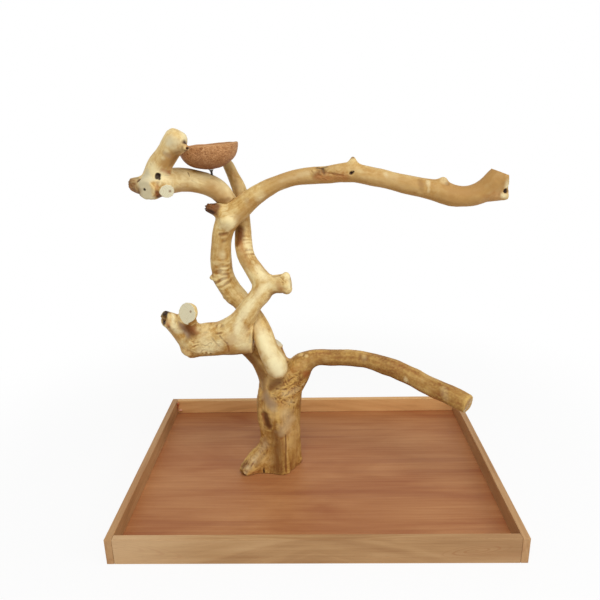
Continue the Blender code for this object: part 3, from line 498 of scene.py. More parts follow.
class Skin:
    # A limb's vertices as arrays: what is raised, pressed in, stained and given painted light and shade
    # before it is written back

    def __init__(self, piece, limb):
        self.piece = piece
        self.limb = limb
        self.places = corners(piece)
        self.normals = corners(piece, "normal")
        ends = np.empty(len(piece.data.edges) * 2, np.int32)
        piece.data.edges.foreach_get("vertices", ends)
        self.edges = ends.reshape(-1, 2)
        self.layers = {name: np.zeros(len(self.places))
                       for name in (*stainAndPaintedLightNames, "lift", "wrinkle", "crumple", "torn")}
        self.waver = bumps(self.places, skinning["waverScale"])
        sway = [noise.noise_vector(Vector(place) * skinning["swayScale"]) for place in self.places]
        self.sway = np.array(sway) * skinning["sway"] * mm
        self.grain = self.grainAlong(routeFrames(limb["routes"]))
        self.weathered = np.zeros(len(self.places))
        self.cut = self.cutFaces()
        for kind, strokes in limb["marks"].items():
            for stroke in strokes:
                self.mark(kind, *stroke)

    def grainAlong(self, samples):
        # Each vertex gets its offsets across the limb and its run along it, blended between samples
        points, ways, sides, ups, runs = (np.array(part, float) for part in zip(*samples))
        grain = np.empty_like(self.places)
        for start in range(0, len(self.places), skinning["batch"]):
            batch = slice(start, start + skinning["batch"])
            offsets = self.places[batch, None, :] - points[None]
            weight = ((offsets ** 2).sum(2) + 4 * mm * mm) ** -4
            weight /= weight.sum(1, keepdims=True)
            for axis, directions, base in ((0, sides, 0), (1, ups, 0), (2, ways, runs)):
                amounts = (offsets * directions[None]).sum(2) + base
                grain[batch, axis] = (weight * amounts).sum(1)
        return grain

    def cutFaces(self):
        # Sawn faces: offsets from the pith in the plane of the cut, and a mask
        cut = np.zeros_like(self.places)
        depth, facing = skinning["sawn"]
        for saw in self.limb["cuts"]:
            normal, offsets, _, faces = sawFace(self.places, self.normals, saw, depth, depth, facing)
            side = np.array(Vector(saw[1]).orthogonal().normalized())
            cut[faces, 0] = (offsets @ side)[faces]
            cut[faces, 1] = (offsets @ np.cross(normal, side))[faces]
            cut[faces, 2] = 1
            self.weathered[faces] = saw[3]
        return cut

    def mark(self, kind, x, y, z, radius, strength=1, *end):
        # Full on the line from the start to the end, falling to 0 at the radius, with an uneven edge
        first = np.array(onTree((x, y, z)))
        run = np.array(onTree(end or (x, y, z))) - first
        length = max(run @ run, 1e-12)
        offsets = self.places + self.sway * min(radius / 8, 1) - first
        share = np.clip(offsets @ run / length, 0, 1)
        distance = lengths(offsets - share[:, None] * run) * (1 + skinning["waver"] * self.waver)
        near = np.clip(1 - (distance / (radius * mm)) ** 2, 0, 1) ** 1.5
        for effect, share in markKinds[kind].items():
            amount = near * share * strength
            before = self.layers[effect]
            self.layers[effect] = before + amount if effect == "lift" else np.maximum(before, amount)

    def spread(self, values, rounds):
        # Each vertex takes the mean of its neighbours, a number of times
        first, second = np.concatenate((self.edges, self.edges[:, ::-1])).T
        size = len(values)
        count = np.maximum(np.bincount(first, minlength=size), 1)
        for _ in range(rounds):
            values = np.stack([np.bincount(first, part[second], size) / count for part in values.T], 1)
        return values

    def relief(self):
        # The height of the skin in mm, and its folds
        lift, *others = (self.layers[name] for name in ("lift", "wrinkle", "crumple", "torn"))
        wrinkles, crumples, tears = (np.where(part > skinning["least"], part, 0) for part in others)
        grit = bumps(self.places, skinning["pits"])
        warp = bumps(self.places, skinning["warpScale"])[:, None] * skinning["warp"]
        base, fold, gritty = skinning["foldHeights"]
        crumpled = base - fold * abs(bumps(self.places * skinning["folds"] + warp)) - gritty * abs(grit)
        splinter, least = skinning["tearHeights"]
        torn = splinter * bumps(self.grain * skinning["tears"]) - least
        ripples = (skinning["ripples"], skinning["ripples"], 1 / (self.limb["wrinkleStep"] * mm))
        folds = wrinkles * np.clip(skinning["rippleGain"] * bumps(self.grain * ripples), -1, 1)
        height = (lift + self.limb["grooves"] * bumps(self.grain * skinning["grooves"])
                  + self.limb["pits"] * grit + self.limb["lumps"] * bumps(self.places, skinning["lumps"])
                  + crumples * crumpled + tears * torn + folds * skinning["rippleHeight"])
        return np.where(self.cut[:, 2] > 0, np.minimum(lift, 0), height), folds

    def hollowness(self, rounds, depth):
        # Above 0 in hollows and below 0 on bumps of a size that grows with the rounds; the wood paints shade
        # in the hollows and highlights on the bumps from it
        rise = ((self.spread(self.places, rounds) - self.places) * self.normals).sum(1)
        return np.where(self.cut[:, 2] > 0, 0, np.clip(rise / (depth * mm), -1, 1))

    def write(self):
        height, folds = self.relief()
        self.places += self.normals * (height * mm)[:, None]
        setCorners(self.piece, self.places)
        # Painted shade on undersides, growing as the skin turns to face down; the hollowness below drives
        # painted shade in hollows and painted highlights on bumps
        undersideShadeAndPores = np.clip(-1.3 * self.normals[:, 2] - 0.15, 0, 1) * (self.cut[:, 2] == 0)
        paint(self.piece, {
            "grain": self.grain, "cut": self.cut, "weathered": self.weathered, "undersideShadeAndPores": undersideShadeAndPores, "fold": folds,
            "creaseShadeAndEndGrain": self.hollowness(skinning["creaseRounds"], self.limb["creaseDepth"]),
            "bulge": self.hollowness(skinning["bulgeRounds"], self.limb["bulgeDepth"]),
            **{name: np.clip(self.layers[name], 0, 1) for name in stainAndPaintedLightNames},
        })
        self.piece.data.update()


def softened(piece, chosen, rounds):
    # Smooths the chosen vertices only
    loose = piece.vertex_groups.new(name="loose")
    loose.add([int(number) for number in np.flatnonzero(chosen)], 1, "REPLACE")
    applied(piece, "SMOOTH", factor=0.5, iterations=rounds, vertex_group="loose")
    piece.vertex_groups.clear()


def growLimb(node, name, limb, material):
    # The node's shape with an even fine skin, its sawn faces filled out flat, sculpted and stained, with
    # painted light and shade.
    # A cut: pith, direction, reach in mm, age, mm to fill out. Rounded: middle, reach in mm, rounds.
    # A mark: start, radius in mm, strength, end.
    piece = copyOf(node, name)
    applied(piece, "REMESH", mode="VOXEL", voxel_size=limb["skin"] * mm)
    places = corners(piece)
    normals = corners(piece, "normal")
    sawn = np.zeros(len(places), bool)
    depth, facing = skinning["filled"]
    for cut in limb["cuts"]:
        normal, _, height, face = sawFace(places, normals, cut, depth, depth + cut[4], facing)
        places[face] -= height[face, None] * normal
        sawn |= face
    setCorners(piece, places)
    softened(piece, ~sawn, limb["softening"])
    for place, reach, rounds in limb["rounded"]:
        softened(piece, lengths(corners(piece) - np.array(onTree(place))) < reach * mm, rounds)
    Skin(piece, limb).write()
    finished(piece, node, "stand", material)


# Main limb: rounded foot, upright, fork, broken twig and the long right perch

mainLimb = {
    "skin": 1.4, "softening": 26, "grooves": 0.4, "pits": 0.12, "lumps": 0.7, "wrinkleStep": 6,
    "creaseDepth": 0.3, "bulgeDepth": 2.2,
    "routes": [
        [(8, 222, -43), (3, 249, -46), (-14, 286, -40), (-38, 333, -11), (-60, 357, 3), (-83, 384, 10),
         (-97, 416, 10), (-98, 454, 6), (-94, 486, 0), (-81, 520, -5), (-52, 547, -7), (-20, 571, -11),
         (20, 591, -16), (60, 601, -20), (149, 607, -34), (236, 588, -48), (330, 566, -63),
         (352, 567, -66), (373, 577, -69), (395, 602, -72)],
        [(-78, 538, -6), (-100, 545, -12), (-122, 550, -15)],
        [(384, 580, -72), (412, 572, -75)],
    ],
    "cuts": [
        ((392, 608, -72), (0.37, 0, 0.93), 28, 0.3, 0),
        ((405, 600, -72), (0.98, -0.05, 0.17), 28, 0.3, 0)],
    "rounded": [((-112, 548, -14), 16, 10)],
    "marks": {
        # Pale wood, and painted highlights along the foot and up the limb
        "paleWoodAndHighlight": [(12, 243, -67, 22, 1, 2, 262, -64), (0, 268, -62, 20, 0.85, -20, 306, -50),
            (-20, 306, -50, 15, 0.5, -40, 336, -30), (-75, 517, -29, 19, 0.5, -70, 522, -29),
            (-93, 459, -15, 14, 0.35), (-95, 430, -12, 12, 0.3, -94, 404, -10), (-16, 567, -27, 13, 0.3),
            (401, 612, -88, 5, 0.6, 403, 586, -91), (206, 605, -57, 7, 0.35),
            (276, 602, -64, 6, 0.42, 277, 578, -70), (20, 596, -34, 8, 0.25, 70, 606, -36),
            (405, 604, -80, 8, 0.8, 404, 586, -87), (398, 570, -87, 6, 0.7, 406, 568, -80)],
        "tan": [(-16, 250, -58, 10, 0.6, -32, 306, -38), (26, 248, -50, 9, 0.6, 8, 290, -44),
            (-94, 478, -14, 14, 0.45, -96, 444, -12), (-82, 494, -22, 16, 0.6),
            (-56, 530, -24, 14, 0.6, -30, 556, -26), (30, 592, -20, 60, 0.8, 330, 566, -63),
            (320, 566, -63, 60, 1.1, 396, 600, -74), (390, 598, -92, 12, 0.5, 388, 584, -92),
            (70, 588, -34, 12, 0.5, 160, 590, -48)],
        "wrinkle": [(-95, 440, -12, 23, 1.3, -97, 402, -10), (-70, 372, -8, 14, 0.4),
            (388, 590, -84, 14, 0.5)],
        "swell": [(-113, 408, 0, 16, 3.5, -92, 362, 0), (-74, 517, -29, 20, 1.4),
            (-88, 493, -20, 4, 1, -74, 493, -22), (82, 609, -36, 8, 1.6),
            (124, 614, -42, 16, 1.4, 150, 618, -44), (276, 600, -66, 6, 0.8, 277, 580, -70),
            (262, 572, -66, 8, 0.8)],
        "dent": [(-70, 404, -4, 14, 2.6, -46, 362, -4), (-92, 500, -20, 5, 1.4, -68, 501, -26),
            (98, 612, -36, 6, 2.2, 94, 617, -32), (412, 566, -74, 8, 3)],
        "nub": [(-118, 412, 2, 7.5, 1.2), (-98, 366, 2, 7, 1.1), (-92, 360, -2, 4.5, 0.5),
            (306, 598, -66, 5, 0.5)],
        "seam": [(-87, 531, -26, 2.2, 0.35, -66, 533, -29), (-83, 519, -31, 1.8, 0.4, -68, 520, -32),
            (92, 600, -42, 2.8, 1, 122, 604, -46), (104, 609, -41, 2.4, 0.8, 132, 604, -47),
            (78, 612, -34, 2, 0.6, 88, 600, -40)],
        "brownStainAndShade": [(-92, 499, -20, 5, 0.7, -68, 501, -26), (-88, 486, -19, 4, 0.6, -74, 486, -20),
            (-104, 548, -18, 18, 1.5, -122, 549, -14), (-98, 538, -22, 8, 0.8, -96, 550, -24),
            (-14, 556, -24, 6, 0.5, -4, 560, -24), (84, 604, -40, 10, 0.7, 92, 612, -38),
            (100, 610, -38, 8, 0.6), (150, 637, -37, 8, 1.2), (263, 600, -64, 7, 0.4, 265, 582, -68),
            (309, 589, -69, 6, 0.6), (392, 572, -84, 7, 0.4)],
        "torn": [(-110, 549, -18, 15, 1.3, -122, 549, -14)],
        # Painted shade in the holes, the notch and the broken twig's hollow
        "darkWoodAndHollowShade": [(-118, 546, -16, 8, 0.8, -106, 540, -22), (-112, 557, -14, 5, 0.6, -100, 557, -18),
            (88, 617, -31, 4, 0.8, 104, 616, -33), (97, 616, -34, 4.5, 0.9, 100, 606, -38),
            (150, 610, -50, 2.8, 1.3), (405, 578, -85, 4, 1.3)],
        "ruddy": [(-102, 551, -22, 4, 0.3), (86, 600, -42, 12, 0.6, 134, 600, -48),
            (360, 560, -72, 14, 0.3, 385, 568, -84)],
        "grey": [(-40, 560, -28, 10, 0.3)],
        "scar": [(24, 576, -26, 5, 0.7, 30, 578, -26), (303, 593, -66, 9, 0.7)],
        "crumple": [(92, 606, -40, 13, 0.8, 134, 604, -46)],
        "hole": [(146, 608, -50, 4.2, 1.2), (403, 577, -85, 5, 1.3)],
    },
}
growLimb("main_limb", "mainLimb", mainLimb, mainLimbWood)

# Y limb: knotty burl with its stubs, then up past the main limb to behind the bowl

yLimb = {
    "skin": 1.3, "softening": 22, "grooves": 0.4, "pits": 0.18, "lumps": 0.8, "wrinkleStep": 6,
    "creaseDepth": 0.3, "bulgeDepth": 2.4,
    "routes": [
        [(-38, 300, -36), (-100, 299, -36), (-154, 297, -40), (-176, 331, -48), (-203, 352, -60)],
        [(-158, 326, -44), (-157, 352, -58), (-150, 367, -75)],
        [(-96, 302, -36), (-66, 328, -38), (-40, 366, -38), (-16, 399, -28), (-30, 424, -18),
         (-46, 446, -5), (-54, 471, 10), (-55, 499, 20), (-56, 537, 25), (-59, 573, 30),
         (-70, 600, 34), (-83, 628, 40)],
        [(-14, 402, -28), (12, 405, -32), (38, 407, -35)],
    ],
    "cuts": [((-147, 368, -76), (-0.42, -0.88, 0.2), 27, 0.25, 18)],
    "rounded": [((41, 408, -36), 22, 150)],
    "marks": {
        "swell": [(-114, 332, -53, 7, 3.4), (-102, 332, -55, 7, 3.4), (-168, 281, -46, 17, 6.5),
            (-131, 279, -57, 4, 1.6), (-123, 279, -58, 4, 1.6), (28, 426, -38, 12, 4),
            (29, 396, -42, 12, 3.5), (34, 410, -50, 12, 1.5)],
        # Pale wood, and a painted highlight running up the limb
        "paleWoodAndHighlight": [(-114, 334, -55, 7, 0.85), (-130, 306, -64, 17, 0.4, -106, 292, -64),
            (-98, 300, -65, 12, 0.5), (-139, 288, -60, 10, 0.5, -118, 286, -62),
            (-62, 306, -64, 16, 0.4, -56, 326, -62), (-131, 281, -58, 4, 0.6), (-123, 281, -59, 4, 0.6),
            (-72, 310, -64, 24, 0.45, -54, 298, -60), (-66, 322, -64, 13, 0.7, -60, 346, -62),
            (-56, 352, -60, 12, 0.7, -36, 380, -56), (-32, 386, -54, 11, 0.6, -16, 404, -50),
            (-183, 342, -67, 10, 0.6, -176, 326, -64), (-184, 361, -60, 5.5, 0.9, -184, 345, -68),
            (-44, 480, -6, 10, 0.4, -40, 466, -8), (-21, 438, -32, 14, 0.65, -14, 424, -38),
            (-6, 408, -46, 10, 0.5, -26, 396, -50), (29, 424, -42, 7, 0.7, 33, 406, -46)],
        "seam": [(-139, 325, -57, 3.2, 1.2, -124, 323, -60), (-136, 325, -61, 3, 0.9, -112, 319, -63),
            (-112, 319, -63, 3, 0.8, -94, 320, -62), (-98, 315, -64, 2.8, 0.7, -86, 300, -65),
            (-86, 300, -65, 2.8, 0.65, -84, 282, -58), (-134, 312, -63, 2.2, 0.6, -112, 304, -66),
            (-116, 314, -64, 2.2, 0.5, -100, 292, -64), (-190, 338, -68, 2.4, 0.8, -184, 352, -66),
            (-184, 330, -66, 2.4, 0.5, -178, 346, -66), (-4, 420, -44, 2.6, 0.5, -12, 400, -50)],
        # Brown wood, and painted shade along the underside and in the gap beside the main limb's foot
        "brownStainAndShade": [(-122, 328, -56, 5, 0.6), (-93, 331, -56, 6, 0.5),
            (-157, 334, -66, 13, 1.1, -150, 318, -62), (-160, 312, -58, 9, 0.5, -166, 304, -56),
            (-140, 338, -60, 9, 0.8, -120, 338, -56), (-150, 268, -48, 6, 0.4, -104, 267, -47),
            (-104, 268, -48, 9, 0.7, -48, 272, -46), (-200, 342, -62, 6, 1, -192, 338, -68),
            (-63, 480, -4, 13, 1.1, -58, 502, 4), (-66, 556, 12, 9, 0.6, -66, 592, 16),
            (0, 388, -42, 9, 0.4, 24, 392, -44), (-41, 326, -60, 4, 0.6, -42, 300, -62)],
        "grey": [(-167, 340, -66, 9, 0.9, -160, 318, -62), (-172, 346, -66, 5, 0.6, -169, 326, -62)],
        "dent": [(-155, 330, -60, 14, 3), (8, 424, -36, 10, 2), (8, 390, -42, 9)],
        "ruddy": [(-150, 332, -62, 9, 0.5, -144, 322, -60), (-84, 292, -62, 7, 0.25, -88, 280, -57),
            (-190, 349, -68, 6, 0.9, -193, 341, -70), (-187, 362, -60, 4, 0.6),
            (-57, 478, -6, 9, 0.5, -54, 464, -8), (14, 408, -47, 7, 0.35, 18, 402, -50)],
        # Painted shade in a seam and in the hollow stub's mouth, and two small dark spots
        "darkWoodAndHollowShade": [(-137, 325, -60, 4.5, 0.8, -124, 323, -60), (-120, 275, -57, 3.4, 0.8),
            (-130, 272, -55, 3.2, 0.7), (-204, 358, -60, 12, 1.5), (-196, 361, -61, 10, 1.5, -201, 346, -62)],
        "tan": [(-164, 282, -50, 18, 0.5), (-80, 282, -56, 12, 0.6, -46, 286, -56),
            (-192, 334, -64, 8, 0.7, -180, 312, -58), (-57, 460, -8, 14, 0.7, -42, 438, -22),
            (-56, 528, 14, 30, 0.5, -83, 628, 24), (14, 408, -48, 10, 0.6, 20, 400, -50)],
        "crumple": [(-146, 292, -60, 22, 0.7, -104, 298, -66), (-20, 428, -38, 15, 0.5),
            (20, 412, -46, 18, 0.5, 26, 400, -46)],
        "torn": [(-208, 350, -58, 12, 0.9)],
        "wrinkle": [(-45, 484, -4, 17, 1.3, -42, 462, -6)],
        "nub": [(-34, 446, -24, 5, 0.4)],
    },
}
growLimb("y_limb", "yLimb", yLimb, yLimbWood)

# Trunk: the stump with its root toes, the arm, a sawn stub and the lower right perch

trunk = {
    "skin": 1.55, "softening": 22, "grooves": 0.7, "pits": 0.2, "lumps": 1, "wrinkleStep": 8,
    "creaseDepth": 0.34, "bulgeDepth": 3,
    "routes": [
        [(-12, -34, 0), (0, 36, 0), (3, 78, 2), (2, 120, 2), (6, 162, 0), (11, 198, -2), (14, 238, -4)],
        [(-22, 36, -6), (-45, 18, -21), (-62, 8, -35), (-74, 1, -48)],
        [(6, 178, -2), (37, 206, -6), (60, 230, -12), (80, 246, -17), (112, 251, -25), (166, 255, -42),
         (211, 251, -64), (254, 241, -90), (296, 230, -121), (347, 219, -163)],
        [(-6, 196, 2), (-28, 234, -8), (-52, 262, -10), (-96, 297, -10)],
        [(9, 222, 2), (6, 254, 4), (2, 276, 6)],
    ],
    "cuts": [
        ((345, 219, -162), (0.74, -0.17, -0.64), 26, 0, 0),
        ((0, 274, 6), (0.45, -0.1, 0.88), 22, 0.6, 0)],
    "rounded": [],
    "marks": {
        "grey": [(-20, 172, -37, 18, 0.95, -8, 160, -42), (-28, 64, -28, 16, 0.45, -62, 18, -44)],
        "paleWoodAndHighlight": [(-4, 150, -42, 9, 0.3), (20, 138, -40, 19, 0.42, 25, 122, -36),
            (23, 118, -36, 21, 0.5, 15, 100, -39), (20, 182, -43, 10, 0.3, 44, 188, -32),
            (28, 164, -39, 9, 0.3), (56, 196, -28, 6, 0.5), (-30, 60, -30, 9, 0.4, -50, 32, -40),
            (-62, 20, -47, 7, 0.4, -68, 8, -50), (5, 268, 0, 10, 0.55), (49, 257, -21, 7, 0.4),
            (62, 257, -28, 5, 0.45), (245, 238, -104, 8, 0.7)],
        "dent": [(-24, 130, -35, 14, 3.2, -20, 106, -37), (-2, 76, -43, 9, 1.2, -4, 14, -46),
            (-36, 118, -14, 12, 1.6), (56, 256, -24, 3.5, 1.4)],
        "brownStainAndShade": [(-24, 132, -35, 15, 1.1, -18, 108, -37), (-8, 198, -40, 14, 0.8, 8, 208, -43),
            (-24, 186, -26, 12, 0.6, -26, 210, -20), (66, 228, -24, 10, 0.7, 48, 210, -30),
            (0, 92, -43, 22, 0.72, -1, 8, -46), (-44, 22, -44, 9, 0.6, -28, 44, -38),
            (-28, 206, -20, 18, 0.65, -60, 270, -14), (-2, 226, -18, 18, 0.6, 12, 236, -10),
            (60, 236, -14, 34, 0.5, 212, 250, -64), (212, 250, -64, 34, 0.4, 345, 219, -162),
            (38, 250, -18, 8, 0.6)],
        "ruddy": [(-31, 130, -32, 5, 0.6, -28, 108, -34), (60, 222, -27, 13, 0.9),
            (-58, 6, -48, 8, 0.5, -34, 4, -46), (112, 236, -34, 12, 0.4, 300, 214, -136),
            (0, 20, 40, 30, 0.5, 20, 120, 40)],
        # Painted shade in a dented hollow and a small hole
        "darkWoodAndHollowShade": [(-26, 126, -36, 8, 0.35, -22, 108, -37), (248, 236, -106, 2.4, 0.5)],
        "crumple": [(0, 184, -43, 20, 0.9, 34, 164, -37), (16, 176, -43, 20, 1.1, 40, 186, -30),
            (44, 212, -34, 20, 0.9, 20, 206, -42), (54, 196, -28, 14, 0.9),
            (-36, 46, -32, 20, 0.55, -62, 14, -46), (0, 120, 44, 30, 0.5)],
        "seam": [(0, 172, -43, 2.6, 0.8, 16, 182, -43), (18, 168, -42, 2.6, 0.8, 38, 158, -34),
            (2, 194, -42, 2.6, 0.8, 22, 192, -42), (17, 86, -36, 3.4, 0.9, 15, 8, -44),
            (-8, 62, -41, 2.6, 0.6, -10, 8, -45), (5, 80, -42, 2.4, 0.4, 6, 10, -46),
            (-36, 50, -33, 2.6, 0.9, -60, 14, -48), (14, 258, -4, 2.2, 0.5, 6, 274, -4),
            (44, 246, -26, 2.4, 0.7, 66, 246, -30)],
        "tan": [(36, 92, -22, 15, 0.45, 33, 6, -24), (6, 252, -4, 14, 0.5)],
        "swell": [(33, 80, -24, 13, 1.6, 32, 10, -26), (-34, 172, -18, 15, 2.6), (8, 258, -8, 10, 3),
            (10, 268, 2, 9, 2.5), (49, 256, -20, 7, 2.2), (62, 256, -28, 6, 1.8)],
        "crack": [(-30, 18, -42, 3.2, 1.6, -30, -2, -45)],
        "torn": [(-72, 6, -44, 13, 1.3, -68, 22, -42), (-50, 2, -50, 7, 0.6, -20, 0, -46)],
        "knot": [(172, 266, -57, 8, 0.4)],
        "wrinkle": [(166, 262, -54, 13, 0.7, 178, 262, -60)],
        "scar": [(245, 238, -104, 8, 1.2), (305, 240, -145, 9, 0.4, 308, 226, -151)],
    },
}
growLimb("trunk", "stumpAndLowerPerch", trunk, stumpWood)

# Top-left perch: coped over the fork, with a cluster of sawn stubs at its far end

topPerch = {
    "skin": 1.1, "softening": 26, "grooves": 0.35, "pits": 0.1, "lumps": 0.6, "wrinkleStep": 7,
    "creaseDepth": 0.26, "bulgeDepth": 2.4,
    "routes": [
        [(-68, 540, -6), (-88, 571, -6), (-104, 584, -6), (-127, 593, -9), (-149, 599, -20),
         (-171, 600, -39), (-194, 598, -54)],
        [(-193, 597, -50), (-183, 624, -57), (-164, 649, -65), (-146, 678, -70)],
        [(-178, 597, -58), (-171, 590, -76), (-166, 586, -88)],
        [(-197, 594, -51), (-203, 591, -74), (-207, 590, -84)],
        [(-204, 594, -52), (-222, 595, -58), (-243, 597, -62)],
        [(-148, 655, -68), (-126, 657, -87)],
    ],
    "cuts": [
        ((-163, 587, -84), (0.36, -0.89, -0.27), 22, 0, 0),
        ((-126, 657, -89), (0.75, 0.07, -0.65), 9, 0.4, 0)],
    "rounded": [((-207, 590, -82), 24, 16)],
    "marks": {
        "aged": [(-205, 578, -81, 17, 2.2, -204, 608, -78), (-152, 668, -92, 15, 0.8)],
        "hole": [(-208, 590, -82, 3.2), (-183, 611, -75, 6.4, 1.4), (-181, 607, -75, 4.2, 0.8)],
        # The dark pith, and painted shade in the lobe's crease and in the hollow twig
        "darkWoodAndHollowShade": [(-208, 590, -82, 3, 1.3), (-219, 606, -70, 4.5, 0.9, -219, 584, -74),
            (-126, 667, -84, 6, 0.9, -131, 665, -84), (-126, 657, -89, 2.6, 1.3), (-222, 608, -66, 6, 0.6),
            (-186, 576, -68, 8, 0.9), (-186, 578, -78, 5, 0.5, -180, 574, -74)],
        "dent": [(-219, 606, -70, 6, 2, -219, 586, -74)],
        "paleWoodAndHighlight": [(-186, 616, -75, 17, 0.65, -170, 604, -72), (-190, 628, -77, 12, 0.5),
            (-130, 676, -78, 15, 0.8), (-162, 654, -88, 6, 0.4), (-120, 600, -24, 12, 0.3, -150, 606, -40)],
        "swell": [(-183, 611, -75, 12, 1.2), (-188, 575, -74, 14, 4)],
        "ruddy": [(-176, 621, -76, 6, 0.9, -164, 615, -64), (-126, 659, -90, 7, 0.7),
            (-236, 590, -68, 8, 0.5), (-184, 593, -84, 6, 0.7, -186, 584, -82), (-160, 624, -72, 8, 0.5)],
        "seam": [(-178, 619, -76, 2.2, 1, -164, 614, -62), (-172, 612, -72, 1.8, 0.8, -162, 612, -60),
            (-194, 632, -76, 2, 0.4, -186, 620, -77), (-140, 614, -34, 1.8, 0.9, -138, 607, -36),
            (-134, 600, -36, 1.8, 0.35, -126, 594, -32)],
        "brownStainAndShade": [(-139, 610, -35, 4, 0.3), (-125, 664, -85, 8, 1.6, -130, 666, -82),
            (-128, 653, -92, 6, 1.1), (-134, 657, -88, 5, 0.9), (-232, 598, -66, 18, 1, -222, 590, -68),
            (-184, 582, -78, 9, 1.5, -176, 573, -74), (-184, 586, -84, 6, 1.2),
            (-74, 560, -18, 9, 0.6, -90, 556, -20), (-158, 632, -76, 9, 0.7, -148, 644, -78),
            (-150, 650, -84, 8, 0.5, -138, 655, -84)],
        "torn": [(-238, 598, -64, 14, 0.5, -226, 598, -68)],
        "crumple": [(-234, 598, -68, 16, 0.8)],
        "tan": [(-106, 582, -18, 24, 0.9, -84, 560, -17), (-168, 632, -80, 15, 0.9, -158, 640, -82),
            (-150, 585, -30, 10, 0.5, -104, 570, -14)],
        "scar": [(-170, 642, -84, 5, 0.6)],
        "grey": [(-166, 650, -88, 6, 0.5, -158, 642, -86)],
        "wrinkle": [(-176, 622, -70, 14, 0.4)],
    },
}
growLimb("top_left_perch", "topLeftPerch", topPerch, perchWood)


# Coconut bowl

turning = frame["joints"][0]
bowlFoot = Vector(turning["pos_m"])
bowlAxis = Vector(turning["axis"])
bowl = {
    "radius": 55 * mm, "rounding": 3, "quadAngle": math.radians(60), "middle": 0.15, "plainFoot": 0.25,
    "lumps": 1.1 * mm, "lumpScale": 38, "lumpGrowth": 1.6, "fibre": 0.22 * mm, "fibreScales": (34, 70),
    "rimWaver": 0.8 * mm, "rimScale": 55, "rimZone": 4 * mm, "rimBand": 1.4 * mm, "rimEdge": 1.4,
    "look": {
        "deep": (134, 84, 48), "body": (182, 128, 80), "pale": (212, 164, 114),
        "span": (0.4, 0.6), "fleck": (224, 182, 136), "foot": (112, 62, 32),
        "inside": (168, 112, 66), "rim": (190, 144, 98),
    },
}


def makeBowl():
    # Half a scraped shell: rounded by subdivision, a little lumpy, its rim sawn by hand
    piece = copyOf("coconut_bowl", "coconutBowl")
    bpy.ops.object.mode_set(mode="EDIT")
    bpy.ops.mesh.select_all(action="SELECT")
    bpy.ops.mesh.tris_convert_to_quads(face_threshold=bowl["quadAngle"], shape_threshold=bowl["quadAngle"])
    bpy.ops.object.mode_set(mode="OBJECT")
    applied(piece, "SUBSURF", levels=bowl["rounding"], render_levels=bowl["rounding"])
    places = corners(piece)
    normals = corners(piece, "normal")
    rises = (places - np.array(bowlFoot)) @ np.array(bowlAxis)
    drops = rises.max() - rises
    inside = []
    aroundScale, upScale = bowl["fibreScales"]
    for number, (place, face, rise, drop) in enumerate(zip(places, normals, rises, drops)):
        offset = Vector(place) - bowlFoot
        normal = Vector(face)
        outward = offset - bowlAxis * rise
        share = outward.length / bowl["radius"]
        inner = outward.dot(normal) < 0 if share > bowl["middle"] else normal.z > 0
        lumps = noise.noise(offset * bowl["lumpScale"]) * bowl["lumps"] * min(share * bowl["lumpGrowth"], 1)
        around = outward.normalized().xy * aroundScale
        threads = noise.noise(Vector((*around, rise * upScale))) * bowl["fibre"]
        nearRim = max(0, 1 - drop / bowl["rimZone"])
        if not inner and share > bowl["plainFoot"]:
            offset += normal * (lumps + threads)
        offset += bowlAxis * noise.noise(outward * bowl["rimScale"]) * bowl["rimWaver"] * nearRim
        places[number] = offset + bowlFoot
        inside.append(inner)
    setCorners(piece, places)
    rim = np.clip(bowl["rimEdge"] - drops / bowl["rimBand"], 0, 1)
    paint(piece, {"inside": np.array(inside, float), "rim": rim})
    material = shellWood("coconutShell", bowl["look"], bowlFoot)
    finished(piece, "coconut_bowl", "bowl", material)


makeBowl()

# Boards and steel keep their nodes

nodeFinishes = {
    "base_panel": panelWood, "rim_front": frontRimWood, "rim_back": backRimPaintedLightWood,
    "rim_left": sideRimWood, "rim_right": sideRimWood,
}
darkOnes = ("foot_screw", "arm_screw", "crossing_screw", "fork_screw", "perch_screw", "bowl_bolt",
            "bowl_lower_nut")
for name, node in nodes.items():
    if node.hide_render:
        continue
    material = nodeFinishes.get(name) or (blackened if name.startswith(darkOnes) else plated)
    node.data.materials.clear()
    node.data.materials.append(material)
print("boards and steel finished")

# Beads of glue, squeezed out of the tray's back left corner

glue = {
    "beads": [((-0.34, 0.2385, 0.043), (2.6, 2.2, 4.6)), ((-0.3352, 0.2378, 0.0262), (4.4, 2.8, 2.4)),
              ((-0.3412, 0.2396, 0.034), (1.4, 1.6, 6.5))],
    "amber": (196, 112, 66), "pink": (232, 172, 138), "pinkFrom": 0.0345, "pinkTo": 0.0285,
    "lumps": 0.5 * mm, "lumpScale": 420, "skin": 0.3 * mm, "softening": 3,
}


def glueResin():
    finish = Finish("glueResin", {"Coat Weight": 0.4})
    place = finish.place()
    clouds = finish.speckle(place, 500, 3, 0.6)
    height = finish.parts(place)[2] + clouds * 0.004
    color = finish.mixed(glue["amber"], glue["pink"], finish.band(height, glue["pinkFrom"], glue["pinkTo"]))
    return finish.wear(color, 0.25 + 0.2 * clouds, clouds, 0.4, 0.0003)


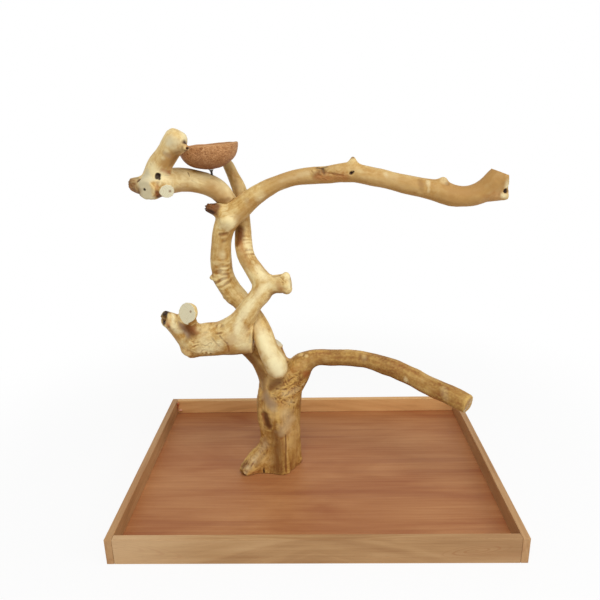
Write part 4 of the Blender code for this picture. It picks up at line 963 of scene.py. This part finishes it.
def squeezeGlue():
    bpy.ops.object.select_all(action="DESELECT")
    beads = []
    for place, reach in glue["beads"]:
        bpy.ops.mesh.primitive_ico_sphere_add(subdivisions=4, radius=mm, location=place)
        bead = bpy.context.object
        bpy.ops.object.mode_set(mode="EDIT")
        bpy.ops.transform.resize(value=reach)
        bpy.ops.object.mode_set(mode="OBJECT")
        beads.append(bead)
    for bead in beads:
        bead.select_set(True)
    bpy.context.view_layer.objects.active = beads[0]
    bpy.ops.object.join()
    piece = bpy.context.object
    piece.name = "cornerGlue"
    bpy.ops.object.transform_apply(location=True, rotation=True, scale=True)
    applied(piece, "REMESH", mode="VOXEL", voxel_size=glue["skin"])
    places = corners(piece)
    lumps = bumps(places, glue["lumpScale"]) * glue["lumps"]
    setCorners(piece, places + corners(piece, "normal") * lumps[:, None])
    applied(piece, "SMOOTH", factor=0.5, iterations=glue["softening"])
    finished(piece, None, "stand", glueResin())


squeezeGlue()


# Floor, light and camera

studio = {
    "white": (255, 255, 255), "floor": (0.9, 0.9, 0.89, 1), "floorSize": 8, "floorDrop": 0.0003,
    "ambient": 0.45, "shadowShare": 0.12, "shadowReach": (1.1, 0.5), "aim": (-0.03, 0, 0.3),
    "lamps": [((0.1, -1.5, 2.4), 1.3, 33), ((1.8, -0.9, 1.1), 1, 9)],
}


def layFloor():
    # Pale paper that shows white far off and keeps the shadow near the stand
    bpy.ops.object.select_all(action="DESELECT")
    bpy.ops.mesh.primitive_plane_add(size=studio["floorSize"], location=(0, 0, -studio["floorDrop"]))
    floor = bpy.context.object
    floor.name = "floor"
    bpy.ops.object.transform_apply(location=True, rotation=True, scale=True)
    paper = Finish("floorPaper", {"Base Color": studio["floor"], "Roughness": 0.9})
    glow = paper.add("Emission", {"Color": studio["white"], "Strength": 1})
    x, y, _ = paper.parts(paper.place())
    near = paper.band((x * x + y * y) ** 0.5, *studio["shadowReach"])
    share = paper.seenDirectly() * (1 - near * studio["shadowShare"])
    surface = paper.add("MixShader", {0: share, 1: Wire(paper, paper.shader.outputs[0]), 2: glow})
    paper.lead(surface, paper.tree.nodes["Material Output"].inputs["Surface"])
    floor.data.materials.append(paper.material)


def lightStudio():
    # White behind everything, soft light from all round and from two lamps
    world = bpy.data.worlds.new("studio")
    bpy.context.scene.world = world
    world.use_nodes = True
    sky = Nodes(world.node_tree)
    soft, backdrop = (
        sky.add("Background", {"Color": studio["white"], "Strength": strength})
        for strength in (studio["ambient"], 1))
    seen = sky.add("MixShader", {0: sky.seenDirectly(), 1: soft, 2: backdrop})
    sky.lead(seen, sky.tree.nodes["World Output"].inputs["Surface"])
    for place, size, power in studio["lamps"]:
        bpy.ops.object.light_add(type="AREA", location=place)
        light = bpy.context.object
        light.data.size = size
        light.data.energy = power
        towards = Vector(studio["aim"]) - Vector(place)
        light.rotation_euler = towards.to_track_quat("-Z", "Y").to_euler()


# The camera's place in metres, its turns in radians, and its lens and sensor in mm
viewpoint = {
    "place": (0.0051, -1.0425, 0.718), "down": 0.3076, "left": 0.027, "roll": -0.0229,
    "lens": 34.44, "sensor": 36,
}


def placeCamera():
    bpy.ops.object.camera_add()
    camera = bpy.context.object
    camera.matrix_world = (
        Matrix.Translation(viewpoint["place"])
        @ Matrix.Rotation(viewpoint["left"], 4, "Z")
        @ Matrix.Rotation(math.pi / 2 - viewpoint["down"], 4, "X")
        @ Matrix.Rotation(viewpoint["roll"], 4, "Z"))
    camera.data.lens = viewpoint["lens"]
    camera.data.sensor_width = viewpoint["sensor"]
    camera.data.dof.use_dof = False
    bpy.context.scene.camera = camera


layFloor()
lightStudio()
placeCamera()
bpy.context.scene.view_settings.view_transform = "Standard"
print("studio ready")
